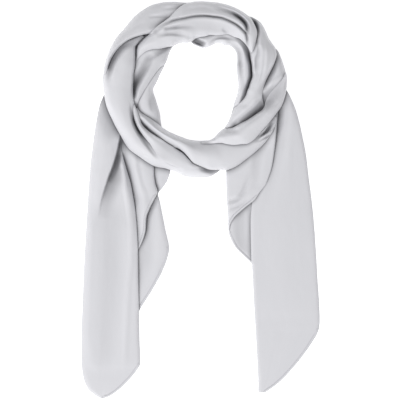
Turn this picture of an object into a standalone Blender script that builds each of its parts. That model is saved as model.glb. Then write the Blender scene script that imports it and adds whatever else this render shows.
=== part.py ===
"""A large satin neckerchief, folded on the bias, wound once round into a two-strand loop and laid flat.

The origin is on the table under the middle of the neckerchief. +Y runs from the two tails to the loop, +X to the
right of someone looking down at it and +Z up. Each stretch of cloth that shows is a solid of its own, lofted
through sections. The stretches are laid one on another in the order in which the cloth lies: each follows
the ones under it, with a narrow gap, and rests on the table where nothing is under it.
"""
import math

import bmesh
import bpy
import numpy as np

# Driving sizes in millimetres and degrees. Everything is turned into metres when a mesh is made.
MM = 0.001
LOOP_CENTRE = (-6.2, 150.4)
SEAM_GAP = 0.4
WALL = 1.6
RIM = 1.2
RIM_SHARE = 0.3
UNDERCUT = 0.6
SOFT_MEETING = 0.8
BRIDGE = 12.0
FOLD_STAYS_OPEN = 4.0
TROUGH_SHARPNESS = 1.6
SHARP_ANGLE = 60.0

# The points of a section stand closer together at its edges, at these distances or these shares of the width.
EDGE_STEPS = (1.0, 3.0)
EDGE_SHARES = (0.1, 0.22)
TURN_LIMIT = 0.45
DRAWN_IN_LIMIT = 0.8
CURVE_POINTS = 400
FOLD_POINTS = 8
FEWEST_SECTIONS = 4

# Table top under the cloth, kept as a map of heights with square cells.
CELL = 1.0
MAP_CORNER = (-190.0, -300.0)
MAP_CELLS = (380, 620)
REACH_UNDER = 2
REACH_OVER = 6
SAMPLES = 12
BARE_TABLE = 0.05
LIFT_PASSES = 12
CLOSE_ENOUGH = 0.02

SATIN = (0.66, 0.66, 0.70, 1.0)
SATIN_ROUGHNESS = 0.42

# A section of the loop is cut at an angle, counted from +X round to +Y. Its inner and outer edges are distances
# from the loop's centre. A section of a tail is cut at a y, and its inner and outer edges are its left and right x.
# inner_top, crown and outer_top are heights over the table, and crown_at is how far across the crown lies.
SECTION = ("place", "inner", "outer", "inner_top", "crown", "outer_top", "crown_at")

LEFT_TAIL_BACK = (
    (66.0, -78.0, -44.0, 3.0, 3.6, 3.0, 0.5),
    (41.4, -80.0, -41.7, 3.0, 4.2, 2.4, 0.6),
    (27.6, -80.0, -45.5, 2.6, 4.4, 2.4, 0.6),
    (16.6, -82.0, -52.4, 2.4, 4.2, 2.4, 0.6),
    (8.3, -84.0, -58.7, 2.2, 3.6, 2.2, 0.6),
    (0.0, -86.0, -56.6, 2.2, 3.6, 2.2, 0.6),
    (-13.8, -90.0, -53.8, 2.2, 4.0, 2.2, 0.6),
    (-41.4, -95.0, -48.3, 2.2, 4.2, 2.2, 0.65),
    (-67.6, -98.0, -43.2, 2.2, 4.0, 2.2, 0.65),
    (-75.9, -98.0, -44.6, 2.2, 3.8, 2.2, 0.65),
    (-96.6, -98.0, -51.8, 2.2, 3.4, 2.2, 0.6),
    (-124.2, -98.0, -66.5, 2.2, 2.8, 2.2, 0.5),
    (-150.4, -96.0, -83.1, 2.0, 2.4, 2.0, 0.5),
    (-158.0, -94.0, -87.5, 1.8, 2.0, 1.8, 0.5),
)

RIGHT_TAIL_BACK = (
    (5.0, 43.0, 74.0, 2.0, 2.6, 2.0, 0.5),
    (-20.0, 42.0, 82.0, 2.2, 3.0, 2.2, 0.5),
    (-44.2, 38.7, 83.0, 2.2, 3.4, 2.2, 0.5),
    (-55.2, 42.1, 83.0, 2.2, 3.4, 2.2, 0.5),
    (-66.2, 48.3, 83.0, 2.2, 3.2, 2.2, 0.5),
    (-76.6, 58.7, 82.5, 2.2, 2.8, 2.2, 0.5),
    (-87.6, 70.5, 80.0, 2.0, 2.2, 2.0, 0.5),
    (-91.0, 74.0, 78.0, 1.8, 2.0, 1.8, 0.5),
)

LEFT_TAIL_MIDDLE = (
    (98.0, -112.0, -84.0, 3.0, 4.0, 3.0, 0.5),
    (80.0, -114.0, -76.0, 3.0, 7.0, 4.0, 0.5),
    (60.0, -112.5, -68.0, 2.4, 8.5, 4.5, 0.5),
    (46.9, -109.0, -64.2, 2.4, 9.0, 6.0, 0.5),
    (38.6, -106.0, -64.2, 2.4, 9.5, 6.5, 0.5),
    (22.1, -101.5, -62.5, 2.4, 10.0, 7.0, 0.5),
    (11.7, -99.5, -59.3, 2.4, 10.0, 6.5, 0.5),
    (2.8, -98.0, -62.8, 2.4, 9.5, 7.0, 0.5),
    (-11.0, -95.5, -69.7, 2.4, 9.0, 7.5, 0.55),
    (-24.8, -94.0, -74.5, 2.4, 8.0, 7.5, 0.6),
    (-41.4, -93.0, -75.6, 2.4, 6.5, 7.0, 0.7),
    (-55.2, -92.5, -79.4, 2.2, 5.0, 6.0, 0.7),
    (-65.6, -91.5, -84.2, 2.0, 4.0, 4.5, 0.6),
    (-70.0, -90.5, -86.5, 1.8, 3.6, 3.8, 0.6),
)

RIGHT_TAIL_FRONT = (
    (160.0, 98.0, 110.0, 3.0, 4.0, 3.0, 0.5),
    (151.8, 97.0, 119.0, 3.0, 5.0, 3.5, 0.5),
    (138.0, 95.0, 126.3, 3.0, 6.0, 4.0, 0.6),
    (124.2, 93.0, 131.8, 3.0, 7.0, 4.5, 0.6),
    (104.9, 91.0, 137.3, 2.6, 7.0, 4.5, 0.6),
    (89.7, 90.0, 140.6, 2.4, 6.6, 4.4, 0.55),
    (59.3, 86.0, 146.3, 2.4, 6.0, 4.0, 0.55),
    (27.6, 79.0, 150.0, 2.4, 5.4, 3.6, 0.5),
    (8.0, 72.0, 152.6, 2.4, 5.0, 3.4, 0.5),
    (-8.0, 70.6, 154.4, 2.8, 4.8, 3.2, 0.5),
    (-27.6, 69.1, 156.4, 3.4, 4.6, 3.2, 0.5),
    (-69.0, 69.7, 159.4, 3.8, 4.6, 3.2, 0.5),
    (-110.4, 72.0, 161.8, 3.8, 4.4, 3.0, 0.5),
    (-151.8, 74.2, 164.4, 3.6, 4.2, 3.0, 0.5),
    (-167.0, 75.1, 164.8, 3.6, 4.2, 2.8, 0.5),
    (-175.0, 75.6, 164.2, 3.6, 4.2, 2.8, 0.5),
    (-182.9, 76.1, 162.2, 3.6, 4.0, 2.8, 0.5),
    (-193.2, 76.7, 156.6, 3.4, 4.0, 2.8, 0.5),
    (-215.3, 77.9, 141.5, 3.4, 3.8, 2.8, 0.5),
    (-240.1, 79.2, 120.8, 3.2, 3.6, 2.8, 0.5),
    (-251.2, 79.6, 109.7, 3.0, 3.4, 2.6, 0.5),
    (-259.2, 79.6, 100.0, 2.8, 3.2, 2.6, 0.5),
    (-263.6, 79.5, 93.2, 2.6, 2.8, 2.4, 0.5),
    (-266.2, 81.0, 89.5, 2.2, 2.4, 2.2, 0.5),
)

LEFT_TAIL_FRONT = (
    (160.0, -126.0, -112.0, 3.0, 4.0, 3.0, 0.5),
    (147.7, -132.4, -109.0, 4.0, 7.0, 5.0, 0.45),
    (130.0, -139.8, -106.0, 5.0, 10.0, 7.0, 0.45),
    (110.0, -144.0, -104.0, 6.0, 12.0, 8.0, 0.45),
    (90.0, -147.2, -106.0, 6.0, 13.5, 8.0, 0.5),
    (76.0, -149.0, -109.5, 6.0, 14.0, 7.0, 0.5),
    (62.0, -150.8, -107.5, 6.0, 14.0, 6.5, 0.45),
    (50.0, -152.2, -104.3, 6.0, 13.5, 6.5, 0.4),
    (38.0, -153.3, -101.0, 6.0, 13.0, 7.0, 0.35),
    (25.0, -154.2, -97.0, 5.6, 12.0, 7.5, 0.3),
    (10.0, -155.2, -94.0, 5.2, 10.5, 7.6, 0.25),
    (-13.8, -156.5, -90.0, 4.8, 8.5, 7.4, 0.25),
    (-41.4, -158.4, -87.6, 4.4, 7.0, 6.4, 0.3),
    (-69.0, -160.0, -86.3, 4.2, 6.0, 5.6, 0.35),
    (-110.4, -161.9, -85.6, 4.0, 5.2, 4.8, 0.4),
    (-151.8, -163.6, -84.9, 3.8, 4.8, 4.2, 0.5),
    (-193.2, -164.7, -84.3, 3.6, 4.4, 4.0, 0.5),
    (-214.0, -164.7, -83.5, 3.4, 4.2, 3.8, 0.5),
    (-227.4, -164.3, -83.5, 3.4, 4.0, 3.6, 0.5),
    (-235.0, -163.8, -88.0, 3.2, 4.0, 3.4, 0.5),
    (-242.2, -162.7, -93.2, 3.2, 3.8, 3.2, 0.5),
    (-251.2, -160.4, -101.4, 3.0, 3.6, 3.0, 0.5),
    (-260.8, -155.8, -111.1, 2.8, 3.4, 2.8, 0.5),
    (-268.4, -147.7, -120.8, 2.6, 3.0, 2.6, 0.5),
    (-272.6, -141.0, -128.5, 2.4, 2.6, 2.4, 0.5),
    (-274.3, -137.6, -134.0, 2.0, 2.2, 2.0, 0.5),
)

RIGHT_TAIL_INNER = (
    (130.0, 98.0, 105.5, 3.0, 3.6, 3.0, 0.5),
    (120.0, 90.0, 106.6, 4.0, 7.0, 7.0, 0.6),
    (104.0, 80.0, 104.9, 4.0, 8.0, 8.5, 0.6),
    (85.6, 62.0, 101.4, 4.0, 8.0, 9.0, 0.6),
    (69.0, 48.0, 99.8, 3.6, 7.4, 9.0, 0.6),
    (55.2, 38.0, 97.3, 3.4, 7.0, 8.6, 0.6),
    (44.0, 35.3, 95.2, 3.4, 6.6, 8.0, 0.6),
    (30.0, 35.2, 93.9, 3.4, 6.4, 7.4, 0.6),
    (22.1, 35.3, 90.4, 3.4, 6.2, 7.0, 0.6),
    (11.0, 35.7, 82.1, 3.4, 6.0, 6.6, 0.6),
    (0.7, 36.1, 75.2, 3.4, 5.8, 6.4, 0.6),
    (-8.3, 36.6, 64.2, 3.4, 5.8, 6.4, 0.6),
    (-16.6, 37.2, 54.5, 3.4, 5.6, 6.2, 0.6),
    (-24.8, 37.8, 46.2, 3.2, 5.0, 5.4, 0.6),
    (-34.5, 38.1, 41.2, 2.8, 4.2, 4.2, 0.5),
    (-42.0, 38.2, 39.8, 2.4, 3.4, 3.0, 0.5),
)

LOOP_INNER_RIGHT = (
    (-52.0, 64.0, 70.0, 3.0, 4.0, 3.0, 0.5),
    (-45.0, 61.7, 74.0, 8.0, 10.0, 7.0, 0.5),
    (-35.0, 58.3, 74.0, 9.0, 13.0, 10.0, 0.5),
    (-17.0, 54.8, 72.0, 10.0, 14.0, 11.0, 0.5),
    (0.0, 57.3, 80.0, 10.0, 15.0, 11.0, 0.3),
    (10.0, 59.0, 84.0, 10.0, 15.0, 11.0, 0.3),
    (20.0, 60.4, 88.0, 10.0, 16.0, 11.0, 0.3),
    (30.0, 64.2, 93.0, 11.0, 17.0, 11.0, 0.3),
    (37.5, 71.3, 97.0, 11.0, 17.0, 11.0, 0.3),
    (45.0, 77.1, 101.0, 11.0, 17.0, 11.0, 0.3),
    (50.0, 78.2, 103.0, 11.0, 17.0, 12.0, 0.3),
    (54.5, 77.4, 102.0, 11.0, 17.0, 12.0, 0.3),
    (58.0, 74.2, 101.0, 11.0, 17.0, 12.0, 0.3),
    (62.5, 73.8, 98.0, 11.0, 17.0, 12.0, 0.3),
    (67.0, 71.3, 95.0, 11.0, 17.0, 12.0, 0.3),
    (72.0, 65.2, 92.0, 10.0, 16.0, 12.0, 0.3),
    (77.0, 61.2, 89.0, 9.0, 15.0, 11.0, 0.3),
    (82.0, 60.0, 87.0, 8.0, 13.0, 10.0, 0.35),
    (88.0, 61.8, 85.0, 7.0, 10.0, 8.0, 0.4),
    (93.0, 64.4, 82.0, 4.0, 6.0, 5.0, 0.5),
    (97.0, 70.0, 79.0, 2.0, 3.0, 2.4, 0.5),
)

LOOP_INNER_LEFT = (
    (136.0, 60.0, 70.0, 3.0, 4.0, 3.0, 0.5),
    (142.0, 55.6, 74.0, 8.0, 11.0, 8.0, 0.4),
    (150.0, 54.6, 77.0, 9.0, 13.0, 9.0, 0.4),
    (160.0, 54.6, 80.0, 10.0, 15.0, 10.0, 0.4),
    (170.0, 56.3, 84.0, 10.0, 16.0, 10.0, 0.4),
    (178.0, 59.3, 88.0, 10.0, 16.0, 10.0, 0.4),
    (185.0, 57.9, 92.0, 9.0, 16.0, 10.0, 0.4),
    (192.0, 56.5, 94.0, 9.0, 16.0, 9.0, 0.4),
    (200.0, 56.3, 94.0, 9.0, 16.0, 9.0, 0.4),
    (210.0, 57.9, 91.0, 9.0, 15.0, 9.0, 0.4),
    (220.0, 63.3, 88.0, 9.0, 13.0, 9.0, 0.4),
    (227.0, 68.9, 85.0, 6.0, 9.0, 7.0, 0.4),
    (234.0, 73.0, 82.0, 3.0, 4.0, 3.0, 0.5),
)

LOOP_RIGHT_UNDER = (
    (-54.0, 68.0, 76.0, 3.0, 4.0, 3.0, 0.5),
    (-45.0, 66.0, 81.0, 10.0, 13.0, 9.0, 0.4),
    (-35.0, 64.0, 88.0, 13.0, 17.0, 11.0, 0.4),
    (-25.0, 62.0, 97.0, 14.0, 19.0, 12.0, 0.4),
    (-15.0, 65.0, 106.0, 15.0, 20.0, 12.0, 0.4),
    (-7.0, 70.0, 109.0, 15.0, 20.0, 12.0, 0.4),
    (0.0, 79.0, 114.0, 14.0, 19.0, 12.0, 0.4),
    (5.0, 83.0, 121.0, 13.0, 19.0, 12.0, 0.4),
    (10.0, 87.0, 126.8, 12.0, 19.0, 12.0, 0.5),
    (15.0, 94.0, 126.5, 12.0, 19.0, 12.0, 0.6),
    (20.0, 102.0, 126.4, 11.0, 18.0, 12.0, 0.6),
    (25.0, 109.0, 126.5, 10.0, 16.0, 11.0, 0.6),
    (30.0, 111.0, 124.0, 7.0, 12.0, 9.0, 0.6),
    (35.0, 110.0, 119.0, 3.0, 4.0, 3.0, 0.5),
)

LOOP_RIGHT_OVER = (
    (-44.0, 64.0, 71.0, 3.0, 4.0, 3.0, 0.5),
    (-34.0, 60.0, 71.5, 12.0, 15.0, 12.0, 0.5),
    (-25.0, 58.0, 75.0, 13.0, 18.0, 13.0, 0.5),
    (-18.0, 61.5, 78.0, 15.0, 20.0, 15.0, 0.5),
    (-10.0, 66.3, 80.0, 18.0, 22.0, 18.0, 0.5),
    (-4.0, 69.4, 86.0, 19.0, 23.0, 21.0, 0.5),
    (0.0, 70.8, 92.4, 20.0, 24.0, 22.0, 0.5),
    (8.6, 76.0, 98.3, 20.0, 24.0, 23.0, 0.5),
    (15.0, 80.8, 106.7, 20.0, 24.0, 23.0, 0.5),
    (20.0, 82.5, 115.4, 20.0, 25.0, 22.0, 0.5),
    (25.0, 85.0, 122.6, 20.0, 25.0, 18.0, 0.5),
    (30.0, 87.4, 124.6, 20.0, 25.0, 15.0, 0.5),
    (35.0, 90.8, 124.2, 19.0, 24.0, 13.0, 0.5),
    (40.0, 93.0, 126.7, 18.0, 22.0, 12.0, 0.5),
    (47.0, 96.0, 130.3, 15.0, 19.0, 12.0, 0.55),
    (53.0, 100.0, 128.5, 12.0, 16.0, 11.0, 0.6),
    (58.0, 104.0, 121.0, 8.0, 11.0, 8.0, 0.5),
    (63.0, 106.0, 116.0, 3.0, 4.0, 3.0, 0.5),
)

LOOP_LEFT_UNDER = (
    (112.0, 74.0, 86.0, 3.0, 4.0, 3.0, 0.5),
    (118.0, 69.0, 91.0, 8.0, 11.0, 8.0, 0.4),
    (125.0, 64.2, 96.0, 10.0, 14.0, 9.0, 0.3),
    (132.0, 59.2, 107.0, 11.0, 16.0, 9.0, 0.2),
    (139.0, 56.6, 109.0, 12.0, 18.0, 9.0, 0.2),
    (145.0, 58.6, 107.0, 14.0, 19.0, 9.0, 0.2),
    (152.0, 60.0, 104.0, 15.0, 19.5, 10.0, 0.2),
    (160.0, 61.8, 101.0, 15.0, 20.0, 11.0, 0.2),
    (170.0, 65.4, 99.0, 16.0, 20.0, 12.0, 0.25),
    (180.0, 71.3, 98.0, 17.0, 20.0, 13.0, 0.3),
    (187.0, 77.2, 98.0, 17.0, 19.0, 13.0, 0.3),
    (192.0, 82.0, 97.0, 15.0, 16.0, 12.0, 0.4),
    (197.0, 87.0, 95.0, 10.0, 10.0, 9.0, 0.5),
)

LOOP_LEFT_OVER = (
    (134.0, 103.4, 109.0, 12.0, 13.0, 11.0, 0.5),
    (139.0, 103.8, 114.0, 15.0, 17.0, 13.0, 0.5),
    (143.0, 103.6, 119.0, 18.0, 20.0, 14.0, 0.45),
    (147.5, 99.2, 122.5, 20.0, 23.0, 15.0, 0.4),
    (152.0, 94.9, 125.5, 21.0, 24.5, 15.0, 0.4),
    (160.0, 90.0, 127.5, 22.0, 26.0, 15.0, 0.4),
    (170.0, 87.5, 127.8, 22.0, 26.5, 15.0, 0.4),
    (180.0, 86.8, 126.9, 22.0, 27.0, 16.0, 0.4),
    (190.0, 86.7, 125.2, 20.0, 27.0, 16.0, 0.45),
    (200.0, 86.6, 122.0, 14.0, 27.0, 16.0, 0.6),
    (210.0, 88.0, 120.8, 12.0, 27.0, 16.0, 0.65),
    (220.0, 88.0, 122.3, 12.0, 26.0, 15.0, 0.65),
    (230.0, 86.0, 119.6, 13.0, 26.0, 15.0, 0.65),
    (240.0, 83.0, 118.8, 14.0, 25.0, 15.0, 0.65),
    (250.0, 78.0, 114.6, 14.0, 23.0, 14.0, 0.7),
    (256.0, 79.0, 115.2, 13.0, 21.5, 13.0, 0.7),
    (263.0, 83.0, 119.1, 12.0, 20.5, 12.0, 0.65),
    (270.0, 90.0, 119.6, 11.0, 19.5, 11.0, 0.6),
    (278.0, 97.0, 120.2, 8.0, 15.0, 9.0, 0.6),
    (284.0, 102.0, 116.8, 5.0, 9.0, 7.0, 0.6),
    (289.0, 105.0, 112.0, 3.0, 4.0, 3.0, 0.5),
)

LOOP_TOP_LEFT = (
    (86.0, 104.0, 114.0, 3.0, 4.0, 3.0, 0.5),
    (91.0, 105.0, 119.0, 8.0, 9.0, 6.0, 0.4),
    (95.0, 106.0, 122.2, 11.0, 13.0, 9.0, 0.4),
    (100.0, 105.0, 125.0, 13.0, 16.0, 11.0, 0.4),
    (105.0, 102.0, 127.9, 14.0, 18.0, 12.0, 0.4),
    (112.0, 98.0, 131.8, 15.0, 20.0, 13.0, 0.4),
    (120.0, 97.0, 134.2, 16.0, 22.0, 14.0, 0.35),
    (128.0, 101.0, 134.2, 19.0, 24.0, 14.0, 0.3),
    (134.0, 106.8, 132.8, 22.0, 25.0, 15.0, 0.25),
    (140.0, 113.3, 131.8, 23.0, 25.0, 15.0, 0.25),
    (145.0, 117.9, 132.9, 23.0, 25.0, 15.0, 0.3),
    (152.0, 122.2, 132.9, 23.0, 24.0, 15.0, 0.3),
    (160.0, 125.0, 132.5, 22.0, 22.5, 15.0, 0.4),
    (167.0, 125.0, 131.4, 20.0, 20.5, 14.0, 0.4),
    (174.0, 124.4, 129.5, 17.0, 18.0, 14.0, 0.5),
    (181.0, 124.0, 127.2, 14.0, 15.0, 13.0, 0.5),
)

LOOP_TOP = (
    (34.5, 91.6, 94.6, 20.0, 20.5, 20.0, 0.5),
    (36.5, 92.2, 100.0, 21.0, 24.0, 22.0, 0.5),
    (40.0, 92.9, 108.3, 22.0, 26.0, 24.0, 0.5),
    (44.0, 93.6, 117.0, 22.0, 27.5, 24.0, 0.5),
    (49.0, 93.6, 122.4, 22.0, 28.0, 22.0, 0.5),
    (55.0, 90.8, 126.6, 21.0, 28.0, 19.0, 0.5),
    (60.0, 89.6, 127.3, 21.0, 28.0, 17.0, 0.5),
    (65.0, 85.0, 127.5, 20.0, 28.0, 16.0, 0.5),
    (70.0, 81.3, 127.1, 19.0, 28.0, 16.0, 0.5),
    (76.0, 79.2, 126.1, 18.0, 28.0, 15.0, 0.5),
    (80.0, 76.3, 125.2, 17.0, 28.0, 15.0, 0.5),
    (90.0, 72.5, 124.0, 16.0, 28.0, 15.0, 0.5),
    (95.0, 68.4, 122.4, 14.0, 28.0, 16.0, 0.5),
    (100.0, 67.0, 118.8, 13.0, 28.0, 19.0, 0.5),
    (105.0, 68.6, 113.3, 13.0, 27.5, 21.0, 0.5),
    (110.0, 69.3, 107.9, 13.0, 27.0, 23.0, 0.5),
    (116.0, 69.2, 105.0, 15.0, 26.0, 23.0, 0.5),
    (122.0, 71.5, 103.4, 17.0, 25.0, 22.0, 0.5),
    (130.0, 75.8, 101.3, 18.0, 24.0, 20.0, 0.5),
    (136.0, 82.4, 101.3, 18.0, 22.5, 18.0, 0.5),
    (141.0, 87.2, 101.3, 16.0, 20.0, 16.0, 0.5),
    (145.0, 89.2, 99.3, 15.0, 18.0, 15.0, 0.5),
    (149.0, 90.8, 95.2, 14.5, 16.5, 14.5, 0.5),
    (152.5, 91.2, 92.3, 14.0, 15.0, 14.0, 0.5),
)

LOOP_FRONT = (
    (196.0, 84.0, 88.0, 15.0, 16.0, 13.0, 0.5),
    (200.0, 82.6, 89.0, 17.0, 19.0, 14.0, 0.4),
    (205.0, 78.2, 90.0, 17.0, 21.0, 14.0, 0.4),
    (212.0, 72.9, 91.0, 17.0, 23.0, 13.0, 0.4),
    (220.0, 69.6, 90.0, 15.0, 24.0, 13.0, 0.4),
    (227.0, 68.2, 89.0, 13.0, 25.0, 14.0, 0.4),
    (235.0, 67.2, 87.0, 13.0, 25.0, 16.0, 0.4),
    (245.0, 66.0, 85.0, 13.0, 25.0, 19.0, 0.45),
    (252.0, 66.0, 82.9, 13.0, 25.0, 22.0, 0.5),
    (258.0, 66.8, 85.6, 13.0, 25.0, 22.0, 0.5),
    (263.0, 67.4, 91.5, 13.0, 25.0, 22.0, 0.5),
    (268.0, 67.9, 99.2, 13.0, 25.0, 21.0, 0.5),
    (274.0, 68.6, 104.4, 13.0, 25.0, 19.0, 0.5),
    (280.0, 69.2, 110.4, 13.0, 25.0, 17.0, 0.5),
    (286.0, 70.2, 113.2, 13.0, 24.5, 15.0, 0.5),
    (292.0, 68.6, 117.4, 12.0, 23.0, 14.0, 0.5),
    (298.0, 68.0, 117.9, 11.0, 22.0, 14.0, 0.5),
    (306.0, 74.0, 116.9, 11.0, 20.0, 14.0, 0.55),
    (314.0, 84.0, 117.3, 11.0, 18.0, 13.0, 0.6),
    (322.0, 92.0, 118.7, 10.0, 17.0, 13.0, 0.6),
    (330.0, 96.0, 119.6, 9.0, 16.0, 12.0, 0.5),
    (337.0, 101.0, 119.2, 7.0, 13.0, 10.0, 0.5),
    (342.0, 104.0, 117.0, 3.0, 4.0, 4.0, 0.5),
)

LOOP_FRONT_FOLD = (
    (193.0, 86.4, 88.4, 20.0, 20.5, 20.0, 0.5),
    (198.0, 85.4, 90.8, 21.0, 22.0, 21.0, 0.5),
    (205.0, 86.0, 93.3, 22.0, 24.0, 22.0, 0.5),
    (212.0, 87.4, 94.8, 22.0, 24.5, 22.0, 0.5),
    (220.0, 85.8, 95.4, 22.0, 25.0, 22.0, 0.5),
    (228.0, 83.4, 96.4, 22.0, 25.5, 22.0, 0.5),
    (235.0, 81.9, 100.4, 22.0, 25.5, 22.0, 0.5),
    (241.0, 82.4, 104.6, 22.0, 25.5, 21.0, 0.5),
    (247.0, 83.4, 106.5, 22.0, 25.0, 21.0, 0.5),
    (252.0, 85.1, 107.5, 22.0, 24.5, 20.5, 0.5),
    (257.0, 87.3, 108.0, 21.0, 24.0, 20.0, 0.5),
    (260.0, 89.8, 108.0, 21.0, 23.5, 20.0, 0.5),
    (262.5, 93.0, 108.0, 21.0, 23.0, 20.0, 0.5),
    (265.0, 96.4, 108.0, 20.0, 22.5, 20.0, 0.5),
    (267.0, 100.2, 108.0, 20.0, 22.0, 20.0, 0.5),
    (270.0, 103.0, 107.6, 19.0, 21.0, 19.0, 0.5),
    (272.5, 105.2, 107.2, 19.0, 19.5, 19.0, 0.5),
)

LOOP_RIGHT_FRONT = (
    (-84.0, 70.5, 73.0, 14.0, 15.0, 14.0, 0.5),
    (-77.0, 70.4, 75.0, 14.0, 17.0, 16.0, 0.5),
    (-70.0, 69.6, 77.0, 14.0, 21.0, 20.0, 0.5),
    (-64.0, 66.0, 80.0, 14.0, 24.0, 23.0, 0.5),
    (-60.0, 64.6, 85.0, 14.0, 26.0, 24.0, 0.5),
    (-55.0, 64.0, 91.3, 15.0, 27.0, 24.0, 0.5),
    (-50.0, 67.5, 96.3, 18.0, 27.5, 24.0, 0.5),
    (-45.0, 71.3, 102.4, 22.0, 28.0, 23.0, 0.5),
    (-40.0, 73.8, 104.6, 24.0, 28.0, 22.0, 0.45),
    (-35.0, 76.7, 105.4, 24.0, 28.0, 21.0, 0.4),
    (-30.0, 80.8, 106.7, 24.0, 28.0, 20.0, 0.4),
    (-25.0, 85.0, 109.2, 24.0, 27.5, 20.0, 0.4),
    (-20.0, 90.0, 112.1, 24.0, 27.0, 20.0, 0.4),
    (-15.0, 95.8, 115.7, 23.0, 26.0, 19.0, 0.4),
    (-10.0, 98.8, 120.0, 22.0, 25.0, 18.0, 0.4),
    (-5.0, 99.6, 122.5, 21.0, 24.0, 16.0, 0.4),
    (0.0, 103.3, 124.6, 20.0, 23.0, 15.0, 0.4),
    (4.0, 109.0, 126.0, 18.0, 21.0, 14.0, 0.4),
    (7.5, 116.5, 127.0, 16.0, 18.0, 14.0, 0.4),
    (11.0, 124.0, 127.2, 14.0, 14.5, 13.0, 0.5),
)

# A fold runs along a few stations, each with its place, how far across it lies and how deep it is there. A ridge
# has a depth below nothing. inner_reach and outer_reach are how far the fold spreads to each side of its line.
FOLD = ("stretch", "inner_reach", "outer_reach", "stations")

FOLDS = (
    ("left_tail_front", 6.0, 14.0, (
        (92.0, -110.0, 0.0), (76.0, -113.5, 8.0), (60.0, -117.5, 11.0), (46.0, -121.8, 11.0), (30.0, -127.6, 9.0),
        (14.0, -132.6, 6.0), (-6.0, -137.0, 3.5), (-40.0, -140.0, 2.2), (-110.0, -143.0, 1.4),
        (-200.0, -146.0, 0.8), (-240.0, -147.0, 0.0))),
    ("left_tail_front", 9.0, 7.0, (
        (60.0, -105.5, 0.0), (40.0, -106.0, -1.0), (0.0, -101.0, -1.2), (-60.0, -97.5, -1.2),
        (-200.0, -104.0, -1.0), (-236.0, -106.0, 0.0))),
    ("left_tail_middle", 9.0, 9.0, (
        (70.0, -90.0, 0.0), (40.0, -83.0, -2.0), (0.0, -80.0, -1.6), (-30.0, -82.0, 0.0))),
    ("right_tail_inner", 7.0, 9.0, (
        (80.0, 84.0, 0.0), (60.0, 77.0, 2.0), (40.0, 70.0, 2.0), (15.0, 62.0, 1.2), (0.0, 54.0, 0.0))),
    ("loop_top", 11.0, 7.0, (
        (134.0, 99.5, 0.0), (125.0, 99.2, 4.0), (115.0, 102.0, 6.0), (100.0, 101.3, 6.5), (90.0, 101.8, 6.5),
        (80.0, 105.8, 6.5), (70.0, 108.5, 6.5), (55.0, 106.7, 6.5), (47.5, 103.8, 6.0), (42.5, 97.0, 4.0),
        (39.0, 93.0, 0.0))),
    ("loop_top", 7.0, 6.0, (
        (78.0, 118.5, 0.0), (70.0, 117.5, 3.5), (60.0, 117.2, 4.5), (53.0, 115.0, 3.5), (48.0, 109.0, 0.0))),
    ("loop_inner_left", 8.0, 3.5, (
        (206.0, 65.4, 0.0), (198.0, 64.6, 4.5), (190.0, 62.4, 5.0), (182.0, 60.0, 2.0), (178.0, 58.8, 0.0))),
    ("loop_left_under", 8.0, 6.0, (
        (186.0, 87.0, 0.0), (178.0, 84.4, 4.0), (170.0, 80.0, 4.0), (160.0, 75.8, 3.0), (150.0, 74.2, 0.0))),
    ("loop_left_over", 10.0, 7.0, (
        (243.0, 105.5, 0.0), (235.0, 101.5, 6.0), (225.0, 98.0, 9.0), (215.0, 96.0, 9.0), (205.0, 93.5, 8.0),
        (197.0, 90.5, 5.0), (190.0, 87.5, 0.0))),
    ("loop_front", 3.5, 4.5, (
        (316.0, 105.0, 0.0), (322.0, 108.5, 4.0), (327.0, 110.5, 7.0), (333.0, 111.8, 7.0), (339.0, 113.0, 3.0),
        (342.0, 114.0, 0.0))),
    ("loop_front", 3.0, 3.0, (
        (312.0, 108.0, 0.0), (320.0, 112.5, -2.5), (328.0, 115.2, -3.0), (336.0, 116.2, -2.5),
        (341.0, 116.5, 0.0))),
)

# The stretches in the order in which they are laid. round_in and round_out are how far in from each edge the
# cloth starts to turn down. along and across are the steps from section to section and from point to point.
STRETCH = ("name", "sections", "lies", "round_in", "round_out", "along", "across")

STRETCHES = (
    ("left_tail_back", LEFT_TAIL_BACK, "tail", 4.0, 4.0, 15.0, 9.0),
    ("right_tail_back", RIGHT_TAIL_BACK, "tail", 4.0, 4.0, 15.0, 9.0),
    ("left_tail_middle", LEFT_TAIL_MIDDLE, "tail", 6.0, 4.0, 14.0, 7.5),
    ("right_tail_front", RIGHT_TAIL_FRONT, "tail", 4.0, 6.0, 16.0, 10.0),
    ("left_tail_front", LEFT_TAIL_FRONT, "tail", 6.0, 5.0, 14.0, 6.5),
    ("right_tail_inner", RIGHT_TAIL_INNER, "tail", 4.0, 4.0, 13.0, 8.5),
    ("loop_inner_right", LOOP_INNER_RIGHT, "loop", 6.0, 9.0, 9.5, 6.0),
    ("loop_inner_left", LOOP_INNER_LEFT, "loop", 6.0, 8.0, 9.5, 6.0),
    ("loop_right_under", LOOP_RIGHT_UNDER, "loop", 6.0, 9.0, 9.5, 6.0),
    ("loop_right_over", LOOP_RIGHT_OVER, "loop", 4.0, 6.0, 9.0, 5.5),
    ("loop_left_under", LOOP_LEFT_UNDER, "loop", 4.5, 8.0, 9.5, 6.0),
    ("loop_left_over", LOOP_LEFT_OVER, "loop", 4.5, 9.0, 9.0, 5.0),
    ("loop_top_left", LOOP_TOP_LEFT, "loop", 4.0, 9.0, 9.5, 5.5),
    ("loop_top", LOOP_TOP, "loop", 5.0, 6.0, 8.0, 4.5),
    ("loop_front", LOOP_FRONT, "loop", 8.0, 6.0, 9.0, 5.5),
    ("loop_front_fold", LOOP_FRONT_FOLD, "loop", 3.0, 5.0, 8.0, 5.0),
    ("loop_right_front", LOOP_RIGHT_FRONT, "loop", 4.5, 5.0, 9.0, 5.5),
)


def column(table, columns, name):
    """One named column of a table."""
    return [row[columns.index(name)] for row in table]


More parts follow.
